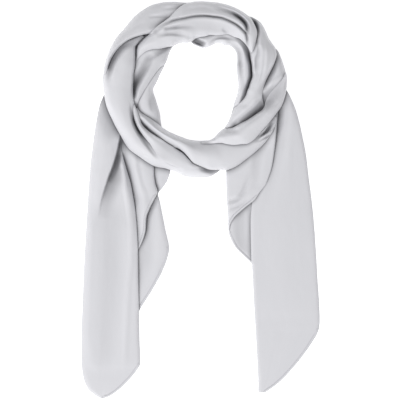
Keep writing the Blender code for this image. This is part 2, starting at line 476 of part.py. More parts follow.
def eased(places, values, at):
    """Read a smooth curve through a table's rows, with no swing past any of them."""
    places = np.asarray(places, float)
    values = np.asarray(values, float)
    if places[0] > places[-1]:
        places, values = places[::-1], values[::-1]
    step = np.diff(places)
    rise = np.diff(values) / step
    slope = np.zeros_like(values)
    slope[0], slope[-1] = rise[0], rise[-1]
    same = rise[:-1] * rise[1:] > 0
    slope[1:-1][same] = 2 * rise[:-1][same] * rise[1:][same] / (rise[:-1] + rise[1:])[same]
    at = np.clip(at, places[0], places[-1])
    row = np.clip(np.searchsorted(places, at) - 1, 0, len(step) - 1)
    t = (at - places[row]) / step[row]
    start = values[row] * (2 * t**3 - 3 * t**2 + 1) + slope[row] * step[row] * (t**3 - 2 * t**2 + t)
    end = values[row + 1] * (3 * t**2 - 2 * t**3) + slope[row + 1] * step[row] * (t**3 - t**2)
    return start + end


def spot(lies, place, across):
    """Turn a place and a distance across it into x and y."""
    if lies == "tail":
        return np.stack(np.broadcast_arrays(across, place), axis=-1).astype(float)
    turn = np.radians(place)
    x = LOOP_CENTRE[0] + across * np.cos(turn)
    y = LOOP_CENTRE[1] + across * np.sin(turn)
    return np.stack(np.broadcast_arrays(x, y), axis=-1)


def soft_step(t):
    t = np.clip(t, 0.0, 1.0)
    return t * t * (3 - 2 * t)


def higher(a, b, ease):
    """The higher of two heights, with a soft passage from one to the other."""
    return 0.5 * (a + b + np.sqrt((a - b) ** 2 + ease**2))


class LaidCloth:
    """How high the cloth that is already laid stands over each cell of the table."""

    def __init__(self):
        self.height = np.zeros((MAP_CELLS[1], MAP_CELLS[0]))

    def cells(self, xy):
        column = np.clip(((xy[..., 0] - MAP_CORNER[0]) / CELL).astype(int), 0, MAP_CELLS[0] - 1)
        row = np.clip(((xy[..., 1] - MAP_CORNER[1]) / CELL).astype(int), 0, MAP_CELLS[1] - 1)
        return row, column

    def add(self, points):
        row, column = self.cells(points)
        np.maximum.at(self.height, (row, column), points[..., 2])

    def only_under(self, points):
        """The heights in the cells that a stretch covers, and none beside it."""
        covered = np.zeros(self.height.shape, bool)
        covered[self.cells(points)] = True
        return np.where(covered, self.height, 0.0)

    def read(self, field, xy):
        return field[self.cells(xy)]


def spread(field, reach, smooth):
    """Heights carried sideways by reach cells, then levelled out over smooth cells."""
    for axis in (0, 1):
        field = np.max([np.roll(field, n, axis) for n in range(-reach, reach + 1)], axis=0)
    for axis in (0, 1):
        field = np.mean([np.roll(field, n, axis) for n in range(-smooth, smooth + 1)], axis=0)
    return field


def inside_points(corners, parts=SAMPLES):
    """Points spread evenly over each triangle."""
    steps = [(i / parts, j / parts) for i in range(parts + 1) for j in range(parts + 1 - i)]
    a, b = np.array(steps).T
    share = np.stack((1 - a - b, a, b), axis=1)
    return np.einsum("mk,tkd->tmd", share, corners)


def grid_triangles(rows, columns):
    """The two triangles of each square of a grid of points counted row by row."""
    first = (np.arange(rows - 1)[:, None] * columns + np.arange(columns - 1)[None, :]).ravel()
    lower = np.stack((first, first + 1, first + columns), axis=1)
    upper = np.stack((first + 1, first + columns + 1, first + columns), axis=1)
    return np.concatenate((lower, upper))


def section_places(table, lies, step):
    """Places along a stretch at even distances."""
    places = column(table, SECTION, "place")
    fine = np.linspace(places[0], places[-1], CURVE_POINTS)
    inner = eased(places, column(table, SECTION, "inner"), fine)
    outer = eased(places, column(table, SECTION, "outer"), fine)
    middle = spot(lies, fine, (inner + outer) / 2)
    run = np.concatenate(([0], np.cumsum(np.linalg.norm(np.diff(middle, axis=0), axis=1))))
    count = max(FEWEST_SECTIONS, math.ceil(run[-1] / step) + 1)
    return np.interp(np.linspace(0, run[-1], count), run, fine)


def across_places(width, step):
    """Distances from the inner edge, one row a section, closer together at both edges."""
    count = max(2, math.ceil((width.max() - 2 * EDGE_STEPS[-1]) / step))
    edge = np.minimum(np.array(EDGE_STEPS)[None, :], width[:, None] * np.array(EDGE_SHARES)[None, :])
    inside = edge[:, -1:] + (width[:, None] - 2 * edge[:, -1:]) * np.linspace(0, 1, count + 1)[None, :]
    zero = np.zeros((len(width), 1))
    return np.concatenate((zero, edge[:, :-1], inside, width[:, None] - edge[:, -2::-1], width[:, None]), axis=1)


def fold_effect(name, lies, xy):
    """How far the folds of one stretch raise or lower the cloth at each point."""
    change = np.zeros(xy.shape[:-1])
    for row in FOLDS:
        fold = dict(zip(FOLD, row))
        if fold["stretch"] != name:
            continue
        stations = fold["stations"]
        place, across, depth = (np.array(values) for values in zip(*stations))
        along = np.linspace(0, len(stations) - 1, FOLD_POINTS * len(stations))
        number = np.arange(len(stations))
        line = spot(lies, eased(number, place, along), eased(number, across, along))
        deep = eased(number, depth, along)
        start, end = line[:-1], line[1:]
        way = end - start
        length = np.linalg.norm(way, axis=1)
        offset = xy[..., None, :] - start
        t = np.clip((offset * way).sum(-1) / length**2, 0, 1)
        gap = offset - t[..., None] * way
        distance = np.linalg.norm(gap, axis=-1)
        nearest = distance.argmin(-1)[..., None]
        away = np.take_along_axis(distance, nearest, -1)[..., 0]
        here = deep[:-1] + t * (deep[1:] - deep[:-1])
        here = np.take_along_axis(here, nearest, -1)[..., 0]
        side = np.take_along_axis(way[..., 0] * offset[..., 1] - way[..., 1] * offset[..., 0], nearest, -1)[..., 0]
        outward = side * outward_sign(place) > 0
        t = np.clip(away / np.where(outward, fold["outer_reach"], fold["inner_reach"]), 0, 1)
        trough = (1 - t) ** TROUGH_SHARPNESS
        ridge = 0.5 * (1 + np.cos(math.pi * t))
        change -= here * np.where(here > 0, trough, ridge)
    return change


def outward_sign(place):
    """Which side of a fold's line is the outer one, from the way in which its places run."""
    return -1.0 if place[-1] > place[0] else 1.0


def edge_height(top, under):
    """How high the cloth's turned edge stands, over what it lies on."""
    return under + np.maximum(RIM, RIM_SHARE * (top - under))


def lofted(stretch, laid):
    """Work out the upper and lower points of one stretch, section by section."""
    table, lies = stretch["sections"], stretch["lies"]
    places = section_places(table, lies, stretch["along"])
    inner, outer, inner_top, crown, outer_top, crown_at = (
        eased(column(table, SECTION, "place"), column(table, SECTION, name), places)[:, None] for name in SECTION[1:])
    width = outer - inner
    away = across_places(width[:, 0], stretch["across"])
    xy = spot(lies, places[:, None] + 0 * away, inner + away)

    # The underside lies on the cloth below it, or on the table.
    triangles = grid_triangles(*away.shape)
    below = laid.only_under(inside_points(xy.reshape(-1, 2)[triangles]))
    under = laid.read(spread(below, REACH_UNDER, 1), xy)
    under = np.where(under > BARE_TABLE, under + SEAM_GAP, 0.0)
    solid_below = spread(laid.height, 1, 0)
    for _ in range(LIFT_PASSES):
        corners = np.concatenate((xy, under[..., None]), axis=-1).reshape(-1, 3)[triangles]
        points = inside_points(corners)
        reached = laid.read(solid_below, points[..., :2])
        short = np.where(reached > BARE_TABLE, reached + SEAM_GAP - points[..., 2], 0.0).max(axis=1)
        if short.max() < CLOSE_ENOUGH:
            break
        lift = np.zeros(under.size)
        for corner in range(3):
            np.maximum.at(lift, triangles[:, corner], np.clip(short, 0, None))
        under = under + lift.reshape(under.shape)

    # The top is a crowned sheet that turns down at both edges.
    share = away / width
    inner_top = np.maximum(inner_top, under[:, :1] + RIM)
    outer_top = np.maximum(outer_top, under[:, -1:] + RIM)
    rise = np.sin(np.clip(share / crown_at, 0, 1) * math.pi / 2)
    fall = np.sin(np.clip((1 - share) / (1 - crown_at), 0, 1) * math.pi / 2)
    top = np.where(share < crown_at, inner_top + (crown - inner_top) * rise, outer_top + (crown - outer_top) * fall)
    folds = fold_effect(stretch["name"], lies, xy)
    top = top + folds
    for drop, from_edge, reach in (
            (inner_top - edge_height(inner_top, under[:, :1]), away, stretch["round_in"]),
            (outer_top - edge_height(outer_top, under[:, -1:]), width - away, stretch["round_out"])):
        t = np.clip(1 - from_edge / np.minimum(reach, TURN_LIMIT * width), 0, 1)
        top = top - drop * (1 - np.sqrt(1 - t**2))

    # It bridges what it lies on, except in its deep folds.
    inwards = soft_step(np.minimum(away, width - away) / BRIDGE) * (1 - np.clip(-folds / FOLD_STAYS_OPEN, 0, 1))
    bridged = laid.read(spread(below, REACH_OVER, REACH_OVER), xy)
    least = under + WALL + inwards * np.clip(bridged - under, 0, None)
    least[:, (0, -1)] = under[:, (0, -1)] + RIM
    top = np.maximum(higher(top, least, SOFT_MEETING), least)

    # The underside's own edges are drawn in, so that the edge is round and not a step.
    low_xy, low = xy.copy(), under.copy()
    for edge, inward in ((0, 1), (-1, -2)):
        towards = xy[:, inward] - xy[:, edge]
        length = np.linalg.norm(towards, axis=1)
        drawn = np.minimum(UNDERCUT * (top[:, edge] - under[:, edge]) / length, DRAWN_IN_LIMIT)
        low_xy[:, edge] += towards * drawn[:, None]
        low[:, edge] += np.clip(under[:, inward] - under[:, edge], 0, None) * drawn
    upper = np.concatenate((xy, top[..., None]), axis=-1)
    lower = np.concatenate((low_xy, low[..., None]), axis=-1)
    laid.add(inside_points(upper.reshape(-1, 3)[triangles]))
    return upper, lower


def solid_from(name, upper, lower, material):
    """Bridge the sections into a closed solid: over the top, round the edge and back underneath."""
    rings = np.concatenate((upper, lower[:, ::-1]), axis=1) * MM
    sections, points = rings.shape[:2]
    mesh = bpy.data.meshes.new(name)
    body = bmesh.new()
    rows = [[body.verts.new(point) for point in ring] for ring in rings]
    half = points // 2
    for near, far in zip(rows, rows[1:]):
        for n in range(points):
            m = (n + 1) % points
            corners = (near[n], near[m], far[m], far[n])
            if n < half:
                body.faces.new((corners[0], corners[1], corners[3]))
                body.faces.new((corners[1], corners[2], corners[3]))
            else:
                body.faces.new((corners[0], corners[1], corners[2]))
                body.faces.new((corners[0], corners[2], corners[3]))
    for end in (rows[0], rows[-1]):
        for n in range(half - 1):
            body.faces.new((end[n], end[n + 1], end[-1 - n]))
            body.faces.new((end[n + 1], end[-2 - n], end[-1 - n]))
    bmesh.ops.recalc_face_normals(body, faces=body.faces)
    body.to_mesh(mesh)
    body.free()
    mesh.shade_smooth()
    mesh.set_sharp_from_angle(angle=math.radians(SHARP_ANGLE))
    mesh.materials.append(material)
    piece = bpy.data.objects.new(name, mesh)
    bpy.context.scene.collection.objects.link(piece)
    return piece


def satin(name):
    """Pale silver-grey satin."""
    material = bpy.data.materials.new(name + "_satin")
    material.use_nodes = True
    shader = material.node_tree.nodes["Principled BSDF"]
    shader.inputs["Base Color"].default_value = SATIN
    shader.inputs["Roughness"].default_value = SATIN_ROUGHNESS
    shader.inputs["Metallic"].default_value = 0.0
    return material


def main():
    for leftover in list(bpy.data.objects):
        bpy.data.objects.remove(leftover, do_unlink=True)
    laid = LaidCloth()
    for row in STRETCHES:
        stretch = dict(zip(STRETCH, row))
        upper, lower = lofted(stretch, laid)
        solid_from(stretch["name"], upper, lower, satin(stretch["name"]))


main()
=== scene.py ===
import math

import bmesh
import bpy
import numpy as np
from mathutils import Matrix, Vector
from mathutils.bvhtree import BVHTree


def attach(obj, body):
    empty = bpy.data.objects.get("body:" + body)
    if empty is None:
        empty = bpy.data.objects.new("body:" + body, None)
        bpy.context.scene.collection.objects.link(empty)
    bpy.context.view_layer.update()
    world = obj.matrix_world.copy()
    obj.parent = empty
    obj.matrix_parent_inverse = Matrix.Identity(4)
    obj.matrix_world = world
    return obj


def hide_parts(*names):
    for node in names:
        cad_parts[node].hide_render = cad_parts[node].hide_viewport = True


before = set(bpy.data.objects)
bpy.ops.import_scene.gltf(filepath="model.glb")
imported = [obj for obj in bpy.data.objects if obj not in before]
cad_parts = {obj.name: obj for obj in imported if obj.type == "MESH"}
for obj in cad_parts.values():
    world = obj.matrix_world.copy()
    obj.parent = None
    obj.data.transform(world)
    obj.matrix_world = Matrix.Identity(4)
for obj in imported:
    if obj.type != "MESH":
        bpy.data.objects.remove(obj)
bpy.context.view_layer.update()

# Sizes are in millimetres and degrees where nothing else is said. A mesh is turned into metres when it is
# made.
MM = 0.001
LOOP_CENTRE = (-6.2, 150.4)

# The cloth is SHEET thick and leaves SEAM_GAP where stretches lie on each other. A stretch is at least WALL
# high, and its turned edge is RIM high, or RIM_SHARE of the height there if that is more. SOFT_MEETING
# eases its crowned top into the least height.
SHEET = 0.5
SEAM_GAP = 0.2
WALL = 0.8
RIM = 0.5
RIM_SHARE = 0.3
SOFT_MEETING = 0.8

# A turned edge is drawn in underneath by UNDERCUT of its height, and by no more than DRAWN_IN_LIMIT of its
# first step. Its nose lies these shares of the way in and down.
UNDERCUT = 0.6
DRAWN_IN_LIMIT = 0.8
NOSE_IN = 0.25
NOSE_DOWN = 0.45

# From BRIDGE inside its edges a stretch bridges the steps of what it lies on, but not in folds as deep as
# FOLD_STAYS_OPEN.
BRIDGE = 12.0
FOLD_STAYS_OPEN = 4.0

# The shell's inner face is drawn in by SHEET at each edge, and by less and less over DRAWN_IN_REACH. A
# narrow stretch is drawn in by one part in REACH_PARTS of its shorter reach, and an end by END_SHARE of its
# last step at most. Above and below, the inner face stays CLEAR_INSIDE from the middle.
DRAWN_IN_REACH = 4.0
REACH_PARTS = 3
END_SHARE = 0.4
CLEAR_INSIDE = 0.05

# How far apart the sections of a stretch and the points of a section stand. The points stand closer
# together at a section's edges, at these distances or these shares of the width. TURN_LIMIT is the largest
# share of the width that an edge may take up.
ALONG = {"tail": 2.4, "loop": 1.6}
FEWEST_SECTIONS = 6
ACROSS = {"tail": 1.7, "loop": 1.15}
EDGE_STEPS = (0.35, 0.9, 1.7, 2.7)
EDGE_SHARES = (0.03, 0.07, 0.13, 0.2)
TURN_LIMIT = 0.45

# The points of a stretch's middle line, of a hem's line, and for each station of a fold. FOLD_ROUND rounds
# a fold's bottom. Edges turn sharp in the shading from SHARP_ANGLE.
CURVE_POINTS = 600
HEM_POINTS = 150
FOLD_POINTS = 8
FOLD_ROUND = 0.9
SHARP_ANGLE = 70.0

# The cloth that is already laid is kept as two maps of heights with square cells. Each triangle is put on
# them as an even spread of points, so many along a side. The reaches are in cells: under a stretch, about
# it, and over what it bridges.
CELL = 1.0
FINE_CELL = 0.5
MAP_CORNER = (-190.0, -300.0)
MAP_SIZE = (380.0, 620.0)
SAMPLES = 4
FINE_SAMPLES = 6
REACH_UNDER = 1
REACH_ABOUT = 2
REACH_OVER = 6

# Lower than BARE_TABLE is the floor. A stretch's underside is lifted off what it lies on in up to
# LIFT_PASSES, until it is right within CLOSE_ENOUGH.
BARE_TABLE = 0.05
LIFT_PASSES = 12
CLOSE_ENOUGH = 0.02

# A stretch rests on another that is under this share of it. Its area stays within its flat size.
CARRIED_SHARE = 1 / 20
FULLEST_AREA = 0.999

# The rolled hem and its stitches. A thread's middle stands over the cloth by THREAD_STANDS of its radius.
# The cloth's top is looked for downwards from ABOVE_ALL_M, in metres.
HEM_WIDTH = 3.2
HEM_RISE = 0.55
HEM_GROOVE = 0.35
GROOVE_WIDTH = 1.2
STITCH_PITCH = 3.0
STITCH_LENGTH = 2.1
STITCH_SIDES = 8
STITCH_RINGS = 6
THREAD_RADIUS = 0.22
THREAD_STANDS = 0.4
ABOVE_ALL_M = 1.0

# The satin's colours, the last of them a painted shade that darkens its folds, and how far its roughness
# changes with its slubs and clouds.
SATIN_LIGHT = (0.640, 0.640, 0.668, 1.0)
SATIN_DARK = (0.590, 0.590, 0.618, 1.0)
SATIN_PAINTED_SHADE = (0.13, 0.13, 0.14, 1.0)
SATIN_ROUGHNESS = 0.5
ROUGHNESS_CHANGE = 0.08
SATIN_SPECULAR = 0.3
SHEEN = 0.15
SHEEN_ROUGHNESS = 0.4

# How many finer layers a soft and a fine noise have.
SOFT_DETAIL = 2.0
FINE_DETAIL = 1.0

# The satin's threads, slubs, soft streaks and clouds, in metres, and the shares of the last three in its
# tone.
THREAD_PITCH = 0.0003
SLUB_WIDTH = 0.0005
SLUB_LENGTH = 0.02
STREAK_WIDTH = 0.018
STREAK_LENGTH = 0.07
CLOUD_SIZE = 0.12
WEAVE_DEPTH = 0.00001
SLUB_DEPTH = 0.00002
DRAPE_DEPTH = 0.0008
CLOUD_SHARE = 0.45
DRAPE_SHARE = 0.35
SLUB_SHARE = 0.2

# The satin's colour is painted darker, as shade, where the cloth around it hides the sky. The painted shade
# is darkest below the first of these shares of open sky, and clear above the second. In each of SKY_WAYS
# directions a wall counts from LEAST_STEP of height, at these reaches, and less and less up to
# FARTHEST_WALL.
# STEEPER says how soon it darkens. Cloth that is itself steeper than STEEP_FROM is left clearer.
PAINTED_SHADE_FROM = 0.3
PAINTED_SHADE_TO = 0.97
LEAST_STEP = 1.4
STEEPER = 2.5
FARTHEST_WALL = 15.0
STEEP_FROM = 2.0
SKY_WAYS = 16
SKY_REACHES = (1.0, 1.6, 2.4, 3.4, 4.8, 6.8, 9.5, 13.0)

# A fold as deep as DEEP_FOLD, and the groove beside a hem, take away these shares of the open sky too, so
# that painted shade darkens them.
DEEP_FOLD = 11.0
FOLD_SHADE = 0.5
HEM_SHADE = 0.22

# The sewing thread, its twist in metres.
THREAD_COLOUR = (0.62, 0.62, 0.66, 1.0)
THREAD_ROUGHNESS = 0.45
THREAD_ROUGHNESS_CHANGE = 0.2
THREAD_GRAIN = 0.0003
THREAD_DEPTH = 0.00008

# The camera's lens and sensor, and the middle and width of its view at the height of VIEW_HEIGHT over the
# floor.
LENS = 300.0
SENSOR = 36.0
VIEW_CENTRE = (-0.69, 0.0)
VIEW_WIDTH = 552.0
VIEW_HEIGHT = 8.0
FARTHEST_SEEN_M = 20.0

# The studio, in metres and watts.
FLOOR_SIZE = 6.0
FLOOR_COLOUR = (0.95, 0.95, 0.95, 1.0)
FLOOR_GLOW = 0.6
FLOOR_ROUGHNESS = 0.75
FLOOR_ROUGHNESS_CHANGE = 0.1
FLOOR_GRAIN = 0.0025
SURROUND_COLOUR = (1.0, 1.0, 1.0, 1.0)
SURROUND = 0.58
LIT_POINT = (0.0, 0.0, 0.0)
LIGHT = ("name", "place", "size", "watts")
LIGHTS = (("key", (-2.6, -3.1, 4.4), 2.4, 260.0),)

# A section of the loop is cut at an angle, counted from +X round to +Y, and its inner and outer edges are
# distances from the loop's centre. A section of a tail is cut at a y, and its edges are its left and right
# x. inner_top, crown and outer_top are heights over the table, and crown_at is how far across the crown
# lies.
SECTION = ("place", "inner", "outer", "inner_top", "crown", "outer_top", "crown_at")

LEFT_TAIL_BACK = (
    (66, -78, -44, 3, 3.6, 3, 0.5),
    (41.4, -80, -41.7, 3, 4.2, 2.4, 0.6),
    (27.6, -80, -45.5, 2.6, 4.4, 2.4, 0.6),
    (16.6, -82, -52.4, 2.4, 4.2, 2.4, 0.6),
    (8.3, -84, -58.7, 2.2, 3.6, 2.2, 0.6),
    (0, -86, -56.6, 2.2, 4.6, 3.4, 0.85),
    (-13.8, -90, -53.8, 2.2, 5.2, 3.6, 0.85),
    (-41.4, -95, -48.3, 2.2, 5.6, 3.8, 0.85),
    (-67.6, -98, -43.2, 2.2, 5.6, 3.8, 0.85),
    (-75.9, -98, -44.6, 2.2, 5.4, 3.6, 0.85),
    (-96.6, -98, -51.8, 2.2, 4.8, 3.2, 0.85),
    (-124.2, -98, -66.5, 2.2, 3.6, 2.6, 0.8),
    (-150.4, -96, -83.1, 2, 2.4, 2, 0.5),
    (-158, -94, -87.5, 1.8, 2, 1.8, 0.5),
)

RIGHT_TAIL_BACK = (
    (5, 43, 74, 2, 2.6, 2, 0.5),
    (-20, 42, 82, 2.4, 3.4, 1.8, 0.2),
    (-44.2, 38.7, 83, 2.6, 3.6, 1.8, 0.15),
    (-55.2, 42.1, 83, 2.6, 3.6, 1.8, 0.15),
    (-66.2, 48.3, 83, 2.6, 3.4, 1.8, 0.2),
    (-76.6, 58.7, 82.5, 2.2, 2.8, 2.2, 0.5),
    (-87.6, 70.5, 80, 2, 2.2, 2, 0.5),
    (-91, 74, 78, 1.8, 2, 1.8, 0.5),
)

LEFT_TAIL_MIDDLE = (
    (98, -112, -84, 3, 4, 3, 0.5),
    (80, -111.5, -76, 3, 7, 4, 0.5),
    (60, -109.2, -68, 2.4, 9, 5, 0.6),
    (46.9, -106, -64.2, 2.4, 9.5, 7, 0.7),
    (38.6, -103.4, -64.2, 2.4, 10, 8, 0.75),
    (22.1, -99, -62.5, 2.4, 10, 8.5, 0.8),
    (11.7, -97, -59.3, 2.4, 10, 8.5, 0.8),
    (2.8, -95.5, -62.8, 2.4, 9.5, 8.5, 0.8),
    (-11, -95.5, -69.7, 2.4, 9, 8.5, 0.8),
    (-24.8, -94, -74.5, 2.4, 8, 7.5, 0.8),
    (-41.4, -93, -75.6, 2.4, 6.5, 7, 0.7),
    (-55.2, -92.5, -79.4, 2.2, 5, 6, 0.7),
    (-65.6, -91.5, -84.2, 2, 4, 4.5, 0.6),
    (-70, -90.5, -86.5, 1.8, 3.6, 3.8, 0.6),
)

RIGHT_TAIL_FRONT = (
    (160, 98, 110, 3, 4, 3, 0.5),
    (151.8, 97, 119, 3, 5, 3.5, 0.5),
    (138, 95, 126.3, 3, 6, 4, 0.6),
    (124.2, 93, 131.8, 3, 7, 4.5, 0.6),
    (104.9, 91, 137.3, 2.6, 7, 4.5, 0.6),
    (89.7, 90, 140.6, 3.4, 6.6, 4.4, 0.55),
    (70, 87.5, 144.6, 4.4, 6.4, 4.2, 0.55),
    (59.3, 86, 146.3, 4.6, 6.2, 4, 0.55),
    (27.6, 79, 150, 4.6, 5.8, 3.6, 0.5),
    (8, 72, 152.6, 4.6, 5.6, 3.4, 0.5),
    (-8, 70.6, 154.4, 4.6, 5.6, 3.2, 0.5),
    (-27.6, 69.1, 156.4, 4.8, 5.6, 3.2, 0.5),
    (-69, 69.7, 159.4, 4.8, 5.4, 3.2, 0.5),
    (-110.4, 72, 161.8, 4.4, 5, 3, 0.5),
    (-151.8, 74.2, 164.4, 4, 4.6, 3, 0.5),
    (-167, 75.1, 164.8, 3.6, 4.2, 2.8, 0.5),
    (-175, 75.6, 164.2, 3.6, 4.2, 2.8, 0.5),
    (-182.9, 76.1, 162.2, 3.6, 4, 2.8, 0.5),
    (-193.2, 76.7, 156.6, 3.4, 4, 2.8, 0.5),
    (-215.3, 77.9, 141.5, 3.4, 3.8, 2.8, 0.5),
    (-240.1, 79.2, 120.8, 3.2, 3.6, 2.8, 0.5),
    (-251.2, 79.6, 109.7, 3, 3.4, 2.6, 0.5),
    (-259.2, 79.6, 100, 2.8, 3.2, 2.6, 0.5),
    (-263.6, 79.5, 93.2, 2.6, 2.8, 2.4, 0.5),
    (-266.2, 81, 89.5, 2.2, 2.4, 2.2, 0.5),
)

LEFT_TAIL_FRONT = (
    (160, -126, -112, 3, 4, 3, 0.5),
    (147.7, -132.4, -109, 4, 7, 5, 0.45),
    (130, -139.8, -106, 5, 10, 7, 0.45),
    (110, -144, -104, 6, 12, 8, 0.45),
    (90, -147.2, -106, 6, 13.5, 8, 0.5),
    (76, -149, -109.5, 6, 14, 9, 0.5),
    (62, -150.8, -107.5, 6, 14, 9.5, 0.45),
    (50, -152.2, -104.3, 6, 13.5, 9, 0.4),
    (38, -153.3, -101, 6, 13, 8.5, 0.35),
    (25, -154.2, -97, 5.6, 12, 7.5, 0.3),
    (10, -155.2, -94, 5.2, 10.5, 7.6, 0.25),
    (-13.8, -156.5, -90, 4.8, 8.5, 7.4, 0.25),
    (-41.4, -158.4, -87.6, 3.6, 9, 8.6, 0.15),
    (-69, -160, -86.3, 3.4, 8.6, 8.2, 0.15),
    (-110.4, -161.9, -85.6, 3.2, 7.8, 7.2, 0.15),
    (-151.8, -163.6, -84.9, 3, 6.8, 6.2, 0.15),
    (-193.2, -164.7, -84.3, 3, 6, 5.2, 0.15),
    (-214, -164.7, -83.5, 3, 5.4, 4.6, 0.2),
    (-227.4, -164.3, -83.5, 3, 4.8, 4.2, 0.25),
    (-235, -163.8, -88, 3.2, 4.2, 3.4, 0.4),
    (-242.2, -162.7, -93.2, 3.2, 3.8, 3.2, 0.5),
    (-251.2, -160.4, -101.4, 3, 3.6, 3, 0.5),
    (-260.8, -155.8, -111.1, 2.8, 3.4, 2.8, 0.5),
    (-268.4, -147.7, -120.8, 2.6, 3, 2.6, 0.5),
    (-272.6, -141, -128.5, 2.4, 2.6, 2.4, 0.5),
    (-274.3, -137.6, -134, 2, 2.2, 2, 0.5),
)

RIGHT_TAIL_INNER = (
    (130, 98, 105.5, 3, 3.6, 3, 0.5),
    (120, 90, 106.6, 4, 7, 7, 0.6),
    (104, 80, 105.6, 4, 8, 8.5, 0.6),
    (85.6, 62, 104.2, 4, 8, 9, 0.6),
    (69, 48, 102.3, 3.6, 7.6, 7.8, 0.6),
    (55.2, 38, 100.4, 3.4, 7.6, 7.4, 0.6),
    (44, 35.3, 98.2, 3.4, 7.6, 7.2, 0.6),
    (30, 35.2, 93.6, 4.4, 7.6, 7.2, 0.6),
    (22.1, 35.3, 90.4, 4.4, 7.4, 7.2, 0.6),
    (11, 35.7, 82.1, 4.4, 7.2, 8, 0.6),
    (0.7, 36.1, 75.2, 4.4, 7, 7.6, 0.6),
    (-8.3, 36.6, 64.2, 4.4, 6.6, 7.2, 0.6),
    (-16.6, 37.2, 54.5, 4.2, 6, 6.6, 0.6),
    (-24.8, 37.8, 46.2, 3.2, 5, 5.4, 0.6),
    (-34.5, 38.1, 41.2, 2.8, 4.2, 4.2, 0.5),
    (-42, 38.2, 39.8, 2.4, 3.4, 3, 0.5),
)

LOOP_INNER_RIGHT = (
    (-49, 63, 70, 3, 4, 3, 0.5),
    (-43, 61, 74, 6, 8, 6, 0.5),
    (-35, 58.3, 74, 9, 12, 9, 0.5),
    (-17, 54.8, 72, 10, 14, 11, 0.5),
    (0, 57.3, 80, 10, 15, 11, 0.3),
    (10, 59, 84, 10, 15, 11, 0.3),
    (20, 60.4, 88, 13, 16, 11, 0.3),
    (30, 64.2, 93, 14, 17, 11, 0.3),
    (37.5, 71.3, 97, 14, 17, 11, 0.3),
    (45, 77.1, 101, 14, 17, 11, 0.3),
    (50, 78.2, 103, 14, 17, 12, 0.3),
    (54.5, 77.4, 102, 13, 17, 12, 0.3),
    (58, 74.2, 101, 11, 17, 12, 0.3),
    (62.5, 73.8, 98, 11, 17, 12, 0.3),
    (67, 71.3, 95, 11, 17, 12, 0.3),
    (72, 65.2, 92, 10, 16, 12, 0.3),
    (77, 61.2, 89, 9, 15, 11, 0.3),
    (82, 60, 87, 8, 13, 10, 0.35),
    (88, 61.8, 85, 7, 10, 8, 0.4),
    (93, 64.4, 82, 4, 6, 5, 0.5),
    (97, 70, 79, 2, 3, 2.4, 0.5),
)

LOOP_INNER_LEFT = (
    (136, 60, 70, 3, 4, 3, 0.5),
    (142, 55.6, 64, 8, 10, 6, 0.4),
    (150, 54.6, 66, 9, 12, 7, 0.4),
    (160, 54.6, 67, 10, 14, 8, 0.45),
    (170, 56.3, 71, 10, 15, 9, 0.5),
    (178, 59.3, 76, 10, 16, 10, 0.5),
    (185, 57.9, 83, 9, 16, 10, 0.5),
    (192, 56.5, 90, 9, 16, 9, 0.45),
    (200, 56.3, 94, 9, 16, 9, 0.4),
    (210, 57.9, 91, 9, 15, 9, 0.4),
    (220, 63.3, 88, 9, 13, 9, 0.4),
    (227, 68.9, 85, 6, 9, 7, 0.4),
    (234, 73, 82, 3, 4, 3, 0.5),
)

LOOP_RIGHT_UNDER = (
    (-50, 69, 76, 3, 4, 3, 0.5),
    (-44, 67, 81, 7, 9, 7, 0.4),
    (-35, 64, 88, 11, 15, 10, 0.4),
    (-25, 62, 97, 14, 19, 12, 0.4),
    (-15, 65, 106, 15, 20, 12, 0.4),
    (-7, 70, 109, 15, 20, 12, 0.4),
    (0, 79, 114, 14, 19, 12, 0.4),
    (5, 83, 121, 13, 19, 12, 0.4),
    (10, 87, 126.8, 12, 19, 12, 0.5),
    (15, 94, 126.5, 12, 19, 12, 0.6),
    (20, 102, 126.4, 11, 18, 12, 0.6),
    (25, 109, 126.5, 10, 16, 11, 0.6),
    (30, 111, 124, 7, 12, 9, 0.6),
    (35, 110, 119, 3, 4, 3, 0.5),
)

LOOP_RIGHT_OVER = (
    (-57, 65.6, 70, 3, 4, 3, 0.5),
    (-53, 64.6, 70.8, 7, 9, 7, 0.4),
    (-49, 63.2, 71.8, 11, 14.5, 11, 0.4),
    (-45, 61.9, 73.5, 14, 17.5, 13, 0.4),
    (-40, 60.4, 76, 14, 18, 12, 0.4),
    (-34, 58.8, 79.8, 14, 19, 11, 0.4),
    (-25, 58, 88, 14, 20.5, 11, 0.4),
    (-20, 60.5, 93, 15, 21.5, 11, 0.35),
    (-16, 62.4, 97.5, 16, 21.5, 11, 0.35),
    (-13, 64.3, 97, 17, 22, 13, 0.35),
    (-10, 66.3, 94.5, 18, 22.5, 16, 0.35),
    (-7, 68, 92.5, 18.5, 23, 20, 0.4),
    (-4, 69.4, 91.5, 19, 23.5, 21.5, 0.45),
    (0, 70.8, 91.8, 20, 24, 21.5, 0.45),
    (4, 73.2, 94, 20, 24, 21, 0.45),
    (8.6, 76, 97.8, 20, 24, 21.5, 0.5),
    (15, 80.8, 106.7, 20, 24, 23, 0.5),
    (20, 82.5, 115.4, 20, 25, 22, 0.5),
    (25, 85, 122.6, 20, 25, 18, 0.5),
    (30, 87.4, 124.6, 20, 25, 15, 0.5),
    (35, 90.8, 124.2, 19, 24, 13, 0.5),
    (40, 93, 126.7, 18, 22, 12, 0.5),
    (47, 96, 130.3, 15, 19, 12, 0.55),
    (53, 100, 128.5, 12, 16, 11, 0.6),
    (58, 104, 121, 8, 11, 8, 0.5),
    (63, 106, 116, 3, 4, 3, 0.5),
)

